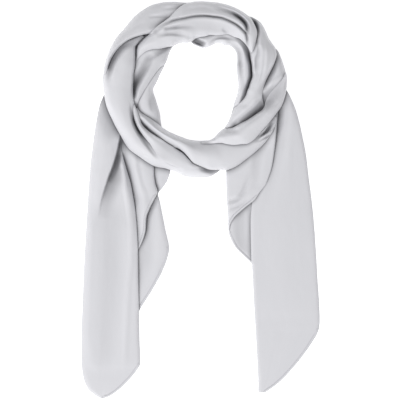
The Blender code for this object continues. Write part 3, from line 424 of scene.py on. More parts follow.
LOOP_LEFT_UNDER = (
    (112, 74, 86, 3, 4, 3, 0.5),
    (118, 69, 91, 8, 11, 8, 0.4),
    (125, 64.2, 96, 10, 14, 9, 0.3),
    (132, 59.2, 107, 11, 16, 9, 0.2),
    (139, 56.6, 109, 12, 18, 9, 0.2),
    (145, 58.6, 107, 14, 19, 9, 0.2),
    (152, 60, 104, 15, 19.5, 10, 0.2),
    (160, 61.8, 101, 15, 20, 11, 0.2),
    (170, 65.4, 99, 16, 20, 12, 0.25),
    (180, 71.3, 98, 17, 20, 13, 0.3),
    (187, 77.2, 98, 17, 19, 13, 0.3),
    (192, 82, 97, 15, 16, 12, 0.4),
    (197, 87, 95, 10, 10, 9, 0.5),
)

LOOP_LEFT_OVER = (
    (134, 103.4, 109, 12, 13, 11, 0.5),
    (139, 103.8, 114, 15, 17, 13, 0.5),
    (143, 103.6, 119, 18, 20, 14, 0.45),
    (147.5, 99.2, 122.5, 20, 23, 15, 0.4),
    (152, 94.9, 125.5, 21, 24.5, 15, 0.4),
    (160, 90, 127, 22, 26, 17, 0.4),
    (164.5, 89, 128.2, 22, 26, 17, 0.4),
    (167.5, 88.3, 130.4, 22, 26, 18, 0.4),
    (171, 87.4, 130.5, 22, 26, 18, 0.4),
    (176, 87, 129.2, 22, 26, 18, 0.4),
    (181, 86.8, 127.4, 22, 26.5, 19, 0.4),
    (190, 86.7, 125.2, 22, 27, 20, 0.45),
    (200, 86.6, 122, 22, 27, 20, 0.5),
    (210, 88, 120.8, 20, 27, 20, 0.5),
    (220, 88, 122.3, 20, 26, 19, 0.5),
    (230, 86, 119.6, 20, 26, 18, 0.55),
    (240, 83, 118.8, 18, 25, 15, 0.6),
    (250, 78, 114.6, 16, 23, 14, 0.65),
    (256, 79, 115.2, 13, 21.5, 13, 0.7),
    (263, 83, 119.1, 12, 20.5, 12, 0.65),
    (270, 90, 119.6, 11, 19.5, 11, 0.6),
    (278, 97, 120.2, 8, 15, 9, 0.6),
    (284, 102, 116.8, 5, 9, 7, 0.6),
    (289, 105, 112, 3, 4, 3, 0.5),
)

LOOP_TOP_LEFT = (
    (86, 104, 114, 3, 4, 3, 0.5),
    (91, 105, 119, 8, 9, 6, 0.4),
    (95, 106, 122.2, 12, 14, 11, 0.4),
    (100, 105, 125, 14, 17.5, 12, 0.4),
    (105, 102, 127.9, 15, 19, 13, 0.4),
    (112, 98, 131.8, 15, 20, 13, 0.15),
    (120, 97, 134.2, 16, 22, 14, 0.15),
    (128, 101, 134.2, 19, 24, 14, 0.15),
    (134, 106.8, 132.8, 22, 25, 15, 0.15),
    (140, 113.3, 131.8, 23, 25, 15, 0.15),
    (145, 117.9, 132.9, 23, 25, 15, 0.15),
    (152, 122.2, 132.9, 23, 24, 15, 0.3),
    (160, 125, 132.3, 21, 21.5, 15, 0.4),
    (164, 125.4, 131.8, 18.5, 18.8, 15, 0.4),
    (167, 125.8, 131.2, 17, 17.2, 14.5, 0.4),
    (169.5, 126.4, 130, 15.5, 15.6, 13, 0.5),
)

LOOP_TOP = (
    (34.5, 91.6, 94.6, 20, 20.5, 20, 0.5),
    (36.5, 92.2, 100, 21, 24, 22, 0.5),
    (40, 92.9, 108.3, 22, 26, 24, 0.5),
    (44, 93.6, 117, 22, 27.5, 24, 0.5),
    (49, 93.6, 122.4, 22, 28, 22, 0.5),
    (55, 90.8, 126.6, 21, 28, 19, 0.5),
    (60, 89.6, 127.3, 21, 28, 17, 0.5),
    (65, 85, 127.5, 20, 28, 16, 0.5),
    (70, 81.3, 127.1, 19, 28, 16, 0.5),
    (76, 79.2, 126.1, 20, 28, 15, 0.5),
    (80, 76.3, 125.2, 20, 28, 15, 0.5),
    (90, 72.5, 124, 19, 28, 15, 0.5),
    (95, 68.4, 122.4, 18, 28, 14.5, 0.5),
    (100, 67, 118.8, 18, 28, 17, 0.5),
    (105, 68.6, 113.3, 18, 27.5, 18.5, 0.5),
    (110, 69.3, 107.9, 18, 27, 20.5, 0.5),
    (116, 69.2, 105, 19, 26, 23, 0.5),
    (122, 71.5, 103.4, 19, 25, 22, 0.5),
    (130, 75.8, 101.3, 18, 24, 20, 0.5),
    (136, 82.4, 101.3, 18, 22.5, 18, 0.5),
    (141, 87.2, 101.3, 16, 20, 16, 0.5),
    (145, 89.2, 99.3, 15, 18, 15, 0.5),
    (149, 90.8, 95.2, 14.5, 16.5, 14.5, 0.5),
    (152.5, 91.2, 92.3, 14, 15, 14, 0.5),
)

LOOP_FRONT = (
    (196, 84, 88, 15, 16, 13, 0.5),
    (200, 82.6, 89, 17, 19, 14, 0.4),
    (205, 78.2, 90, 17, 21, 14, 0.4),
    (212, 72.9, 91, 17, 23, 13, 0.4),
    (220, 69.6, 90, 15, 24, 13, 0.4),
    (227, 68.2, 89, 13, 25, 14, 0.4),
    (235, 67.2, 87, 13, 25, 16, 0.4),
    (245, 66, 85, 13, 25, 19, 0.45),
    (252, 66, 82.9, 13, 25, 22, 0.5),
    (258, 66.8, 85.6, 13, 25, 22, 0.5),
    (263, 67.4, 91.5, 13, 25, 22, 0.5),
    (268, 67.9, 99.2, 13, 25, 21, 0.5),
    (274, 68.6, 104.4, 13, 25, 19, 0.5),
    (280, 69.2, 110.4, 13, 25, 17, 0.5),
    (286, 70.2, 113.2, 13, 24.5, 15, 0.5),
    (292, 68.6, 117.4, 12, 23, 14, 0.5),
    (298, 68, 117.9, 11, 22, 14, 0.5),
    (306, 74, 116.9, 11, 20, 14, 0.55),
    (314, 84, 117.3, 11, 18, 13, 0.6),
    (322, 92, 118.7, 10, 17, 13, 0.6),
    (330, 96, 119.6, 9, 16, 12, 0.5),
    (337, 101, 119.2, 7, 13, 10, 0.5),
    (342, 104, 117, 3, 4, 4, 0.5),
)

LOOP_FRONT_FOLD = (
    (193, 86.4, 88.4, 20, 20.5, 20, 0.5),
    (198, 85.4, 90.8, 21, 22, 21, 0.5),
    (205, 86, 93.3, 22, 24, 22, 0.5),
    (212, 87.4, 94.8, 22, 24.5, 22, 0.5),
    (220, 85.8, 95.4, 22, 25, 22, 0.5),
    (228, 83.4, 96.4, 22, 25.5, 22, 0.5),
    (235, 81.9, 100.4, 22, 25.5, 22, 0.5),
    (241, 82.4, 104.6, 22, 25.5, 21, 0.5),
    (247, 83.4, 106.5, 22, 25, 21, 0.5),
    (252, 85.1, 107.5, 22, 24.5, 20.5, 0.5),
    (257, 87.3, 108, 21, 24, 20, 0.5),
    (260, 89.8, 108, 21, 23.5, 20, 0.5),
    (262.5, 93, 108, 21, 23, 20, 0.5),
    (265, 96.4, 108, 20, 22.5, 20, 0.5),
    (267, 100.2, 108, 20, 22, 20, 0.5),
    (270, 103, 107.6, 19, 21, 19, 0.5),
    (272.5, 105.2, 107.2, 19, 19.5, 19, 0.5),
)

LOOP_RIGHT_FRONT = (
    (-84, 70.5, 73, 14, 15, 14, 0.5),
    (-77, 70.4, 75, 14, 17, 16, 0.5),
    (-70, 69.6, 77, 14, 21, 20, 0.5),
    (-64, 66, 80, 14, 24, 23, 0.5),
    (-60, 64.6, 85, 14, 26, 24, 0.5),
    (-55, 64, 91.3, 14, 27, 24, 0.5),
    (-50, 67.5, 96.3, 16.5, 27.5, 24, 0.5),
    (-45, 71.3, 102.4, 20, 28, 23, 0.5),
    (-40, 73.8, 104.6, 24, 28, 22, 0.45),
    (-35, 76.7, 105.4, 24, 28, 21, 0.4),
    (-30, 80.8, 106.7, 24, 28, 20, 0.4),
    (-25, 85, 109.2, 24, 27.5, 20, 0.4),
    (-20, 90, 112.1, 24, 27, 20, 0.4),
    (-15, 95.6, 115.7, 22, 26, 19, 0.4),
    (-12, 96.8, 118.4, 18, 24.5, 18, 0.45),
    (-10, 96.6, 120, 14, 23, 17, 0.5),
    (-6, 98.2, 122, 11, 21, 15.5, 0.6),
    (-2, 102, 123.8, 10, 19, 14.5, 0.6),
    (1.6, 107.4, 125.2, 9, 17.5, 14, 0.6),
    (5, 114, 126.3, 9, 16, 13.5, 0.6),
    (8, 120.4, 127, 10, 14.5, 13, 0.5),
    (11, 124.6, 127.2, 12, 14, 13, 0.5),
)

# A fold runs along a few stations, each with its place, how far across it lies and how deep it is there. A
# ridge has a depth below nothing. inner_reach and outer_reach are how far the fold spreads to each side of
# its line, and floor is the share of that reach which stays at full depth.
FOLD = ("stretch", "inner_reach", "outer_reach", "floor", "stations")

FOLDS = (
    ("left_tail_front", 2.2, 7.5, 0.3, (
        (94, -108.4, 0), (84, -109.8, 6), (76, -111.4, 9), (60, -115, 10), (46, -119.2, 7), (34, -124, 3),
        (24, -127.4, 0))),
    ("left_tail_front", 2.2, 22, 0.3, (
        (66, -113.5, 0), (54, -116.8, 3), (46, -119.2, 6), (34, -123.9, 8), (22, -127.9, 7),
        (10, -131.6, 5), (-3, -135, 2.8), (-24, -138.5, 0))),
    ("left_tail_middle", 8, 10, 0.1, (
        (92, -108, 0), (84, -108.8, 3), (75, -108.8, 4.5), (65, -107.5, 4.5), (50, -103, 4), (40, -99.5, 4),
        (25, -95.5, 3.8), (10, -92, 3.6), (0, -90, 3.4), (-20, -88.8, 2.8), (-45, -87, 2.2),
        (-64, -86, 0))),
    ("left_tail_back", 5, 7, 0, (
        (44, -64, 0), (22, -62, 1.2), (5, -60, 1.4), (-10, -69, 2.6), (-25, -74, 2.8), (-40, -75.2, 2.8),
        (-52, -78.5, 2.4), (-62, -83, 1.5), (-70, -86.5, 0))),
    ("right_tail_front", 6, 9, 0.1, (
        (134, 108, 0), (124, 108, 4), (110, 107.2, 5), (98, 105.2, 4), (86, 103, 2), (70, 101.5, 1.4),
        (50, 98, 1), (22, 92, 0))),
    ("right_tail_back", 5, 5, 0, (
        (-2, 66, 0), (-20, 68.5, 1.4), (-60, 69, 1.6), (-88, 71.5, 0))),
    ("right_tail_inner", 5, 6, 0, (
        (-2.5, 37.5, 0.8), (-1, 43, 2.2), (1, 50, 2.6), (10, 58, 2.4), (25, 65, 1.6), (42, 71, 0))),
    ("right_tail_inner", 4, 4, 0, (
        (-12.5, 39.5, 0.6), (-10.5, 45, 1.6), (-8, 51, 1.8), (-2, 60, 1.2), (6, 68, 0))),
    ("loop_top", 4.5, 2.2, 0, (
        (131, 101, 0), (128.6, 100.6, 1.5), (125.4, 99.6, 2.5), (120, 101, 3), (115, 102, 3),
        (110, 102.4, 3), (100, 101.4, 2.8), (92, 102.4, 2.6), (84, 103.8, 2.6), (76, 105.2, 2.6),
        (70, 106.8, 2.6), (60, 107.2, 3), (50, 105.4, 3), (47.5, 103.8, 3), (45, 100, 2.6),
        (42.5, 96.3, 1.8), (40, 93.5, 0))),
    ("loop_top", 4, 4, 0.3, (
        (78, 118, 0), (70, 117.6, 2.5), (65, 117.8, 4), (60, 117.3, 6), (55, 115.8, 6.5), (52, 113.5, 5.5),
        (49, 107.8, 3), (47.5, 104.5, 0))),
    ("loop_top", 4.5, 2.4, 0, (
        (117.5, 96.4, 0), (114.6, 94.9, 3.6), (108.5, 92.4, 3.8), (102, 90.8, 2.2), (96, 89.5, 1.2),
        (91, 89, 0))),
    ("loop_top", 4, 6, 0, (
        (126, 93.5, 0), (120, 89.8, 2.2), (116, 87.7, 3.2), (110, 83.6, 3.2), (105, 80, 2.4),
        (98, 75.8, 1.4), (93, 73, 0))),
    ("loop_top", 1.6, 1.3, 0, (
        (122, 100.8, 0), (115, 101.6, 1.6), (107, 101.6, 2), (100, 101.2, 2.4), (92, 102.4, 2.8),
        (84, 103.8, 3.2), (76, 104.8, 3), (70, 106.4, 2.4), (60, 106.8, 2.6), (50, 104.8, 2.6),
        (46, 101.4, 2.4), (42.5, 96, 1.6), (40, 93.5, 0))),
    ("loop_top", 1.8, 1.5, 0, (
        (66, 117.6, 0), (62, 117.2, 3), (57, 116, 4), (53, 113.8, 4), (49.5, 108.6, 2.5),
        (47.5, 104.5, 0))),
    ("loop_top", 3, 3, 0, (
        (67.5, 93.8, 0), (65, 92.4, 1.6), (62.5, 91, 1.6), (60, 90, 0))),
    ("loop_top", 4, 4, 0, (
        (100, 110, 0), (92, 113, 1.2), (84, 114.5, 1.2), (76, 113.5, 0))),
    ("loop_top_left", 2.8, 2.8, 0, (
        (123, 120.5, 0), (120, 118.2, 1.4), (115, 113.4, 1.6), (109.5, 108.3, 0))),
    ("loop_top_left", 3.5, 4, 0, (
        (113, 122, 0), (108, 119.5, 1.6), (102, 117.8, 2), (96, 117, 0))),
    ("loop_top_left", 5, 5, 0, (
        (152, 127.5, 0), (143, 124, 1.2), (134, 121, 1.2), (126, 119, 0))),
    ("loop_inner_right", 3.5, 3.5, 0, (
        (74, 66.5, 0), (72, 69.2, 2), (70, 75.8, 3.5), (67.5, 79.2, 3.5), (65, 81.3, 3.5), (60, 85, 3),
        (55, 87.5, 2), (50, 89.2, 0))),
    ("loop_inner_right", 5, 10, 0, (
        (54, 91.5, 0), (47, 92, 1.5), (40, 90.5, 4), (32, 87, 8), (25, 84.5, 11), (20, 82, 12),
        (15, 80, 12), (10, 76.5, 11), (5, 73, 9), (0, 70.5, 7), (-5, 68.5, 5), (-10, 66, 3),
        (-17, 63.5, 0))),
    ("loop_inner_right", 6, 6, 0, (
        (62, 79.5, 0), (55, 82, 3), (45, 81, 6), (35, 74, 6.5), (25, 68, 5), (15, 64.5, 3.5), (0, 62, 0))),
    ("loop_inner_right", 5, 5, 0.2, (
        (94, 71.5, 0), (90.5, 69.8, 6), (86, 67.2, 9), (82, 66, 8), (78.5, 65.5, 3), (76, 66, 0))),
    ("loop_inner_left", 9, 3, 0.2, (
        (206, 65.4, 0), (202, 65, 1.2), (194, 64, 2.6), (187, 61.2, 2.2), (181, 59.4, 1), (178, 58.8, 0))),
    ("loop_left_under", 7, 9, 0.1, (
        (188, 87, 0), (181, 86, 7.5), (175, 84, 9), (170, 81.5, 9), (165, 79.5, 8.5), (160, 77.8, 7.5),
        (155, 76.8, 6.5), (150, 76.5, 5), (145, 77.5, 3.5), (139, 79.5, 0))),
    ("loop_left_under", 5, 7, 0, (
        (156, 86, 0), (146, 79, 1.6), (138, 75, 3), (128, 72, 4), (118, 74, 4))),
    ("loop_left_over", 8, 5, 0.3, (
        (243, 105.5, 0), (238, 103, 1.5), (230, 99, 3.5), (221, 96.5, 5.5), (215, 95.4, 9), (208, 94, 9),
        (203, 92.5, 6), (197, 90.5, 3.5), (190, 87.5, 0))),
    ("loop_left_over", 4, 6, 0.1, (
        (272.5, 105.2, 0), (275.5, 107.4, 3.6), (278, 109.6, 5), (282, 112.4, 4), (285, 113.6, 2),
        (288, 114, 0))),
    ("loop_left_over", 7, 6, 0, (
        (134, 104, 0), (140, 108.5, 2), (145, 113, 4), (150, 117.5, 5), (155, 119.8, 6), (160, 121.3, 7),
        (165, 121.8, 6.5), (169, 121.8, 4.5), (173, 121.6, 2), (177, 121, 0))),
    ("loop_top_left", 5, 13, 0, (
        (127, 103, 0), (120, 105, 4), (112, 107.5, 4.5), (107.5, 111, 3), (103, 116, 2), (99, 119.5, 1.2),
        (95, 122, 0))),
    ("loop_right_over", 4, 5, 0, (
        (54, 126.3, 0), (51, 124.6, 5), (49, 123, 9), (46.5, 120.5, 8), (44, 117.6, 5), (41, 111, 3),
        (38, 104.5, 2.5), (35.5, 98, 1.5), (34, 94, 0))),
    ("loop_right_over", 2.8, 3.2, 0, (
        (36, 108, 0), (34, 105, 1.4), (31, 100, 2.6), (28, 94.6, 3.4), (23, 90.4, 3.2), (19, 87.4, 1.8),
        (14, 84.5, 0))),
    ("loop_right_over", 3, 3, 0, (
        (44, 113, 0), (38, 107.5, 1.2), (30, 99.5, 0.8), (20, 91.5, 1.2), (8, 84, 0))),
    ("loop_right_over", 3, 3.4, 0, (
        (40, 118, 0), (32, 111, 1), (24, 103, 1.4), (14, 94, 1.2), (4, 86, 0))),
    ("loop_right_under", 6, 8, 0, (
        (29.6, 125.5, 0), (26, 124, 3.5), (20, 116.5, 6), (15, 108, 6.5), (12, 103, 6), (8.3, 98.4, 5.5),
        (4, 95, 4.5), (1, 91.8, 3), (-3.9, 87, 1.5), (-8, 83, 0))),
    ("loop_right_over", 12, 4, 0, (
        (-4, 95, 0), (-8, 95.6, 4), (-12, 95, 8.5), (-16, 92.6, 10.5), (-20, 89, 10.5), (-25, 84.4, 9.5),
        (-30, 80.2, 7.5), (-35, 76.2, 5.5), (-41, 73, 3.5), (-47, 70.4, 1.4), (-51, 68.5, 0))),
    ("loop_front", 7, 2.4, 0.1, (
        (206, 86, 0), (212, 86.5, 4), (218, 85.2, 6), (224, 83.4, 6), (230, 82, 5), (236, 81.2, 3.6),
        (242, 81.6, 3.6), (248, 83, 3.6), (253, 85, 2.4), (258, 87, 0))),
    ("loop_front", 2.6, 3, 0.1, (
        (318, 106, 0), (324.2, 108.2, 3), (329, 111.4, 7), (333, 112.8, 9), (336, 113.4, 6),
        (339, 114, 0))),
    ("loop_front", 2.2, 2.2, 0, (
        (321.5, 109, 0), (326.3, 112.6, -3), (330, 116.6, -3.5), (333.5, 120.5, -2))),
    ("loop_front", 2.2, 2.2, 0, (
        (320, 109.5, 0), (324.6, 113, 3), (328, 117, 3.5), (331, 120.5, 2))),
)

# A swell is a wide and softer valley or ridge, told in the same way.
SWELLS = (
    ("left_tail_front", 22, 28, 0, (
        (24, -122, 0), (0, -122, 1), (-40, -122, 1.8), (-80, -122, 2), (-130, -124, 1.8), (-200, -128, 1.6),
        (-250, -134, 0))),
    ("left_tail_front", 5, 6, 0, (
        (56, -109.4, 0), (46, -108, -2.4), (32, -105.8, -3), (18, -103.6, -2.6), (0, -100.5, -1.8),
        (-40, -96, -1.2), (-80, -96, -1), (-120, -100, -0.8), (-200, -104, -0.6), (-236, -106, 0))),
    ("left_tail_front", 26, 12, 0, (
        (158, -131, 0), (140, -130, 3.5), (118, -126, 5), (100, -118, 4.5), (86, -110, 0))),
    ("left_tail_back", 12, 20, 0, (
        (10, -70, 0), (0, -72, 1.5), (-30, -75, 2.2), (-70, -75, 2.2), (-100, -80, 1.5), (-130, -90, 0))),
    ("right_tail_back", 14, 14, 0, (
        (0, 58, 0), (-25, 56, 2.4), (-50, 58, 2.4), (-70, 64, 1.6), (-85, 72, 0))),
    ("loop_top", 12, 12, 0, (
        (120, 88, 0), (110, 88, 1.4), (100, 89, 2.4), (85, 91, 2.4), (70, 93, 2.4), (60, 96, 1.6),
        (50, 98, 0))),
    ("left_tail_middle", 8, 8, 0, (
        (80, -97, 0), (60, -93, -2), (40, -90, -2.5), (20, -85, -2), (8, -80, -1.5), (-10, -76.5, -1),
        (-30, -77, 0))),
    ("right_tail_inner", 9, 12, 0, (
        (100, 92, 0), (80, 86, 1.5), (60, 79, 2), (35, 76, 1.5), (15, 72, 0))),
    ("right_tail_front", 9, 16, 0, (
        (140, 110, 0), (118, 112, 2.4), (90, 110, 2), (50, 104, 1.2), (10, 95, 0.6), (-20, 90, 0))),
    ("loop_inner_right", 3, 4, 0, (
        (-22, 58.5, 0), (-8, 61, -1.4), (5, 63.2, -1.4), (18, 66, 0))),
    ("loop_right_over", 7, 7, 0, (
        (36, 112, 0), (30, 110, -1.6), (22, 102, -1.8), (12, 92, -1.5), (2, 82, 0))),
    ("loop_right_under", 12, 9, 0, (
        (9, 122, 0), (5, 114, 1.5), (1.6, 107.4, 3.5), (-3, 101.5, 5.5), (-6.3, 98, 7.5), (-10, 95.8, 9),
        (-13, 94.6, 10), (-18, 90, 10), (-24, 84.5, 8), (-30, 79.8, 5), (-36, 75.5, 0))),
    ("loop_right_under", 6, 6, 0, (
        (12, 127, 0), (9.7, 124, -1.2), (7.1, 113.2, -2.4), (4.1, 101.6, -2.4), (-1.2, 92.5, -2),
        (-7, 86, 0))),
    ("loop_right_over", 7, 6, 0, (
        (9, 97.5, 0), (4, 94.5, 1.6), (0, 90.6, 2.2), (-4, 86.6, 1.4), (-9, 81, 0))),
    ("loop_right_over", 6, 7, 0, (
        (0, 93.5, 0), (-4, 89.5, -0.8), (-8.8, 83.5, -1.8), (-16.5, 76.7, -1.6), (-28, 69, -1),
        (-40, 66, 0))),
    ("loop_right_front", 8, 13, 0, (
        (9, 123, 0), (5, 118.5, 2), (1, 112.5, 3.6), (-5, 103.8, 4.2), (-10, 101, 3), (-16, 98, 0))),
    ("loop_right_front", 6, 8, 0, (
        (-4, 112, 0), (-15, 106, -1.6), (-30, 92, -1.8), (-45, 84, -1.4), (-56, 76, 0))),
    ("loop_front", 9, 12, 0, (
        (215, 79, 0), (230, 76, -1.2), (250, 74, -1.2), (270, 80, 0))),
)

# Rolled hems run along the edges that are not folds, from one place to another.
HEM = ("stretch", "edge", "start", "end")

HEMS = (
    ("left_tail_back", "outer", -67, -157),
    ("right_tail_back", "inner", -46, -90),
    ("left_tail_middle", "outer", 4, -69),
    ("right_tail_front", "outer", -180, -265),
    ("left_tail_front", "outer", -228, -273.8),
    ("right_tail_inner", "outer", 3, -41.5),
)

# The stretches in the order in which they are laid. round_in and round_out are how far in from each edge
# the cloth starts to turn down.
STRETCH = ("name", "sections", "lies", "round_in", "round_out", "held")

STRETCHES = (
    ("left_tail_back", LEFT_TAIL_BACK, "tail", 4, 2, "laid"),
    ("right_tail_back", RIGHT_TAIL_BACK, "tail", 2, 4, "laid"),
    ("left_tail_middle", LEFT_TAIL_MIDDLE, "tail", 6, 2.5, "laid"),
    ("right_tail_front", RIGHT_TAIL_FRONT, "tail", 4.5, 5, "laid"),
    ("left_tail_front", LEFT_TAIL_FRONT, "tail", 7, 5, "laid"),
    ("right_tail_inner", RIGHT_TAIL_INNER, "tail", 4, 2.5, "laid"),
    ("loop_inner_right", LOOP_INNER_RIGHT, "loop", 6, 9, "folded"),
    ("loop_inner_left", LOOP_INNER_LEFT, "loop", 6, 8, "folded"),
    ("loop_right_under", LOOP_RIGHT_UNDER, "loop", 6, 9, "folded"),
    ("loop_right_over", LOOP_RIGHT_OVER, "loop", 3.5, 4.5, "folded"),
    ("loop_left_under", LOOP_LEFT_UNDER, "loop", 4.5, 8, "folded"),
    ("loop_left_over", LOOP_LEFT_OVER, "loop", 3.5, 9, "folded"),
    ("loop_top_left", LOOP_TOP_LEFT, "loop", 3, 9, "folded"),
    ("loop_top", LOOP_TOP, "loop", 4.5, 5, "folded"),
    ("loop_front", LOOP_FRONT, "loop", 8, 5, "folded"),
    ("loop_front_fold", LOOP_FRONT_FOLD, "loop", 2.6, 4, "folded"),
    ("loop_right_front", LOOP_RIGHT_FRONT, "loop", 3.5, 4.5, "folded"),
)


def column(table, columns, name):
    """One named column of a table."""
    return [row[columns.index(name)] for row in table]


def eased(places, values, at):
    """Read a smooth curve through a table's rows, with no swing past any of them."""
    places = np.asarray(places, float)
    values = np.asarray(values, float)
    if places[0] > places[-1]:
        places, values = places[::-1], values[::-1]
    step = np.diff(places)
    rise = np.diff(values) / step
    slope = np.zeros_like(values)
    slope[0], slope[-1] = rise[0], rise[-1]
    same = rise[:-1] * rise[1:] > 0
    slope[1:-1][same] = 2 * rise[:-1][same] * rise[1:][same] / (rise[:-1] + rise[1:])[same]
    at = np.clip(at, places[0], places[-1])
    row = np.clip(np.searchsorted(places, at) - 1, 0, len(step) - 1)
    t = (at - places[row]) / step[row]
    start = values[row] * (2 * t**3 - 3 * t**2 + 1) + slope[row] * step[row] * (t**3 - 2 * t**2 + t)
    end = values[row + 1] * (3 * t**2 - 2 * t**3) + slope[row + 1] * step[row] * (t**3 - t**2)
    return start + end


def spot(lies, place, across):
    """Turn a place and a distance across it into x and y."""
    if lies == "tail":
        return np.stack(np.broadcast_arrays(across, place), axis=-1).astype(float)
    turn = np.radians(place)
    x = LOOP_CENTRE[0] + across * np.cos(turn)
    y = LOOP_CENTRE[1] + across * np.sin(turn)
    return np.stack(np.broadcast_arrays(x, y), axis=-1)


def soft_step(t):
    """A smooth rise from 0 to 1."""
    t = np.clip(t, 0.0, 1.0)
    return t * t * (3 - 2 * t)


def higher(a, b, ease):
    """The higher of two heights, with a soft passage from one to the other."""
    return 0.5 * (a + b + np.sqrt((a - b) ** 2 + ease**2))


def spread(field, reach, smooth):
    """Heights carried sideways by reach cells, then levelled out over smooth cells."""
    for axis in (0, 1):
        field = np.max([np.roll(field, n, axis) for n in range(-reach, reach + 1)], axis=0)
    for axis in (0, 1):
        field = np.mean([np.roll(field, n, axis) for n in range(-smooth, smooth + 1)], axis=0)
    return field


class LaidCloth:
    """How high the cloth already laid stands over each cell of the surface, and which stretch is on top."""

    def __init__(self, cell):
        self.cell = cell
        self.height = np.zeros((round(MAP_SIZE[1] / cell), round(MAP_SIZE[0] / cell)))
        self.owner = np.full(self.height.shape, -1)
        self.names = []

    def cells(self, xy):
        """The row and column of the cell that each point falls in."""
        x = np.clip(((xy[..., 0] - MAP_CORNER[0]) / self.cell).astype(int), 0, self.height.shape[1] - 1)
        y = np.clip(((xy[..., 1] - MAP_CORNER[1]) / self.cell).astype(int), 0, self.height.shape[0] - 1)
        return y, x

    def read(self, field, xy):
        """A field read at the cells that the points fall in."""
        return field[self.cells(xy)]

    def between(self, field, xy):
        """A field read between the middles of its cells."""
        place = (xy - MAP_CORNER) / self.cell - 0.5
        x, y = np.moveaxis(np.floor(place).astype(int), -1, 0)
        part_x, part_y = np.moveaxis(place - np.floor(place), -1, 0)
        near = field[y, x] * (1 - part_x) + field[y, x + 1] * part_x
        far = field[y + 1, x] * (1 - part_x) + field[y + 1, x + 1] * part_x
        return near * (1 - part_y) + far * part_y

    def covered(self, points):
        """The cells that the points fall in."""
        cells = np.zeros(self.height.shape, bool)
        cells[self.cells(points)] = True
        return cells

    def carriers(self, points):
        """The names of the stretches that lie under a new one, or the floor where there are none."""
        owners = self.owner[self.covered(points)]
        numbers, counts = np.unique(owners, return_counts=True)
        carrying = numbers[counts > owners.size * CARRIED_SHARE]
        return ["floor" if n < 0 else self.names[n] for n in carrying]

    def add(self, name, points):
        """Lay a stretch over what is there."""
        cells = self.cells(points)
        np.maximum.at(self.height, cells, points[..., 2])
        self.owner[cells] = len(self.names)
        self.names.append(name)


def inside_points(corners, parts=SAMPLES):
    """Points spread evenly over each triangle."""
    steps = [(i / parts, j / parts) for i in range(parts + 1) for j in range(parts + 1 - i)]
    a, b = np.array(steps).T
    share = np.stack((1 - a - b, a, b), axis=1)
    return np.einsum("mk,tkd->tmd", share, corners)


def grid_triangles(rows, columns):
    """The two triangles of each square of a grid of points counted row by row."""
    first = (np.arange(rows - 1)[:, None] * columns + np.arange(columns - 1)[None, :]).ravel()
    lower = np.stack((first, first + 1, first + columns), axis=1)
    upper = np.stack((first + 1, first + columns + 1, first + columns), axis=1)
    return np.concatenate((lower, upper))


def lengths(line):
    """How far along a line each of its points lies."""
    return np.concatenate(([0], np.cumsum(np.linalg.norm(np.diff(line, axis=0), axis=1))))


def section_places(table, lies):
    """Places along a stretch at even distances, and how far along it each lies."""
    places = column(table, SECTION, "place")
    fine = np.linspace(places[0], places[-1], CURVE_POINTS)
    inner = eased(places, column(table, SECTION, "inner"), fine)
    outer = eased(places, column(table, SECTION, "outer"), fine)
    run = lengths(spot(lies, fine, (inner + outer) / 2))
    count = max(FEWEST_SECTIONS, math.ceil(run[-1] / ALONG[lies]) + 1)
    even = np.linspace(0, run[-1], count)
    return np.interp(even, run, fine), even


def across_places(width, lies):
    """Distances from the inner edge, one row a section, closer together at both edges."""
    count = max(2, math.ceil((width.max() - 2 * EDGE_STEPS[-1]) / ACROSS[lies]))
    edge = np.minimum(np.array(EDGE_STEPS)[None, :], width[:, None] * np.array(EDGE_SHARES)[None, :])
    inside = edge[:, -1:] + (width[:, None] - 2 * edge[:, -1:]) * np.linspace(0, 1, count + 1)[None, :]
    start, end = np.zeros((len(width), 1)), width[:, None]
    return np.concatenate((start, edge[:, :-1], inside, end - edge[:, -2::-1], end), axis=1)


def from_line(line, xy):
    """How far each point is from a line, on which side, and where along the line's points it is nearest."""
    start, way = line[:-1], np.diff(line, axis=0)
    offset = xy[..., None, :] - start
    t = np.clip((offset * way).sum(-1) / (way**2).sum(-1), 0, 1)
    distance = np.linalg.norm(offset - t[..., None] * way, axis=-1)
    nearest = distance.argmin(-1)[..., None]
    turn = way[..., 0] * offset[..., 1] - way[..., 1] * offset[..., 0]
    side = np.take_along_axis(turn, nearest, -1)[..., 0]
    away = np.take_along_axis(distance, nearest, -1)[..., 0]
    along = (nearest + np.take_along_axis(t, nearest, -1))[..., 0]
    return away, side, along


def fold_effect(name, lies, xy):
    """How far the folds of one stretch raise or lower the cloth at each point."""
    change = np.zeros(xy.shape[:-1])
    rows = [(row, False) for row in FOLDS] + [(row, True) for row in SWELLS]
    for fold in (dict(zip(FOLD, row), soft=soft) for row, soft in rows):
        if fold["stretch"] != name:
            continue
        stations = fold["stations"]
        place, across, depth = (np.array(values) for values in zip(*stations))
        along = np.linspace(0, len(stations) - 1, FOLD_POINTS * len(stations))
        number = np.arange(len(stations))
        line = spot(lies, eased(number, place, along), eased(number, across, along))
        deep = eased(number, depth, along)
        away, side, nearest = from_line(line, xy)
        here = np.interp(nearest, np.arange(len(deep)), deep)
        outward = side * (-1.0 if place[-1] > place[0] else 1.0) > 0
        away = np.hypot(away, FOLD_ROUND) - FOLD_ROUND
        t = away / np.where(outward, fold["outer_reach"], fold["inner_reach"])
        t = np.clip((t - fold["floor"]) / (1 - fold["floor"]), 0, 1)
        trough = (1 - t) ** 2 * (1 + t)
        swell = 0.5 * (1 + np.cos(math.pi * t))
        change -= here * (swell if fold["soft"] else np.where(here > 0, trough, swell))
    return change


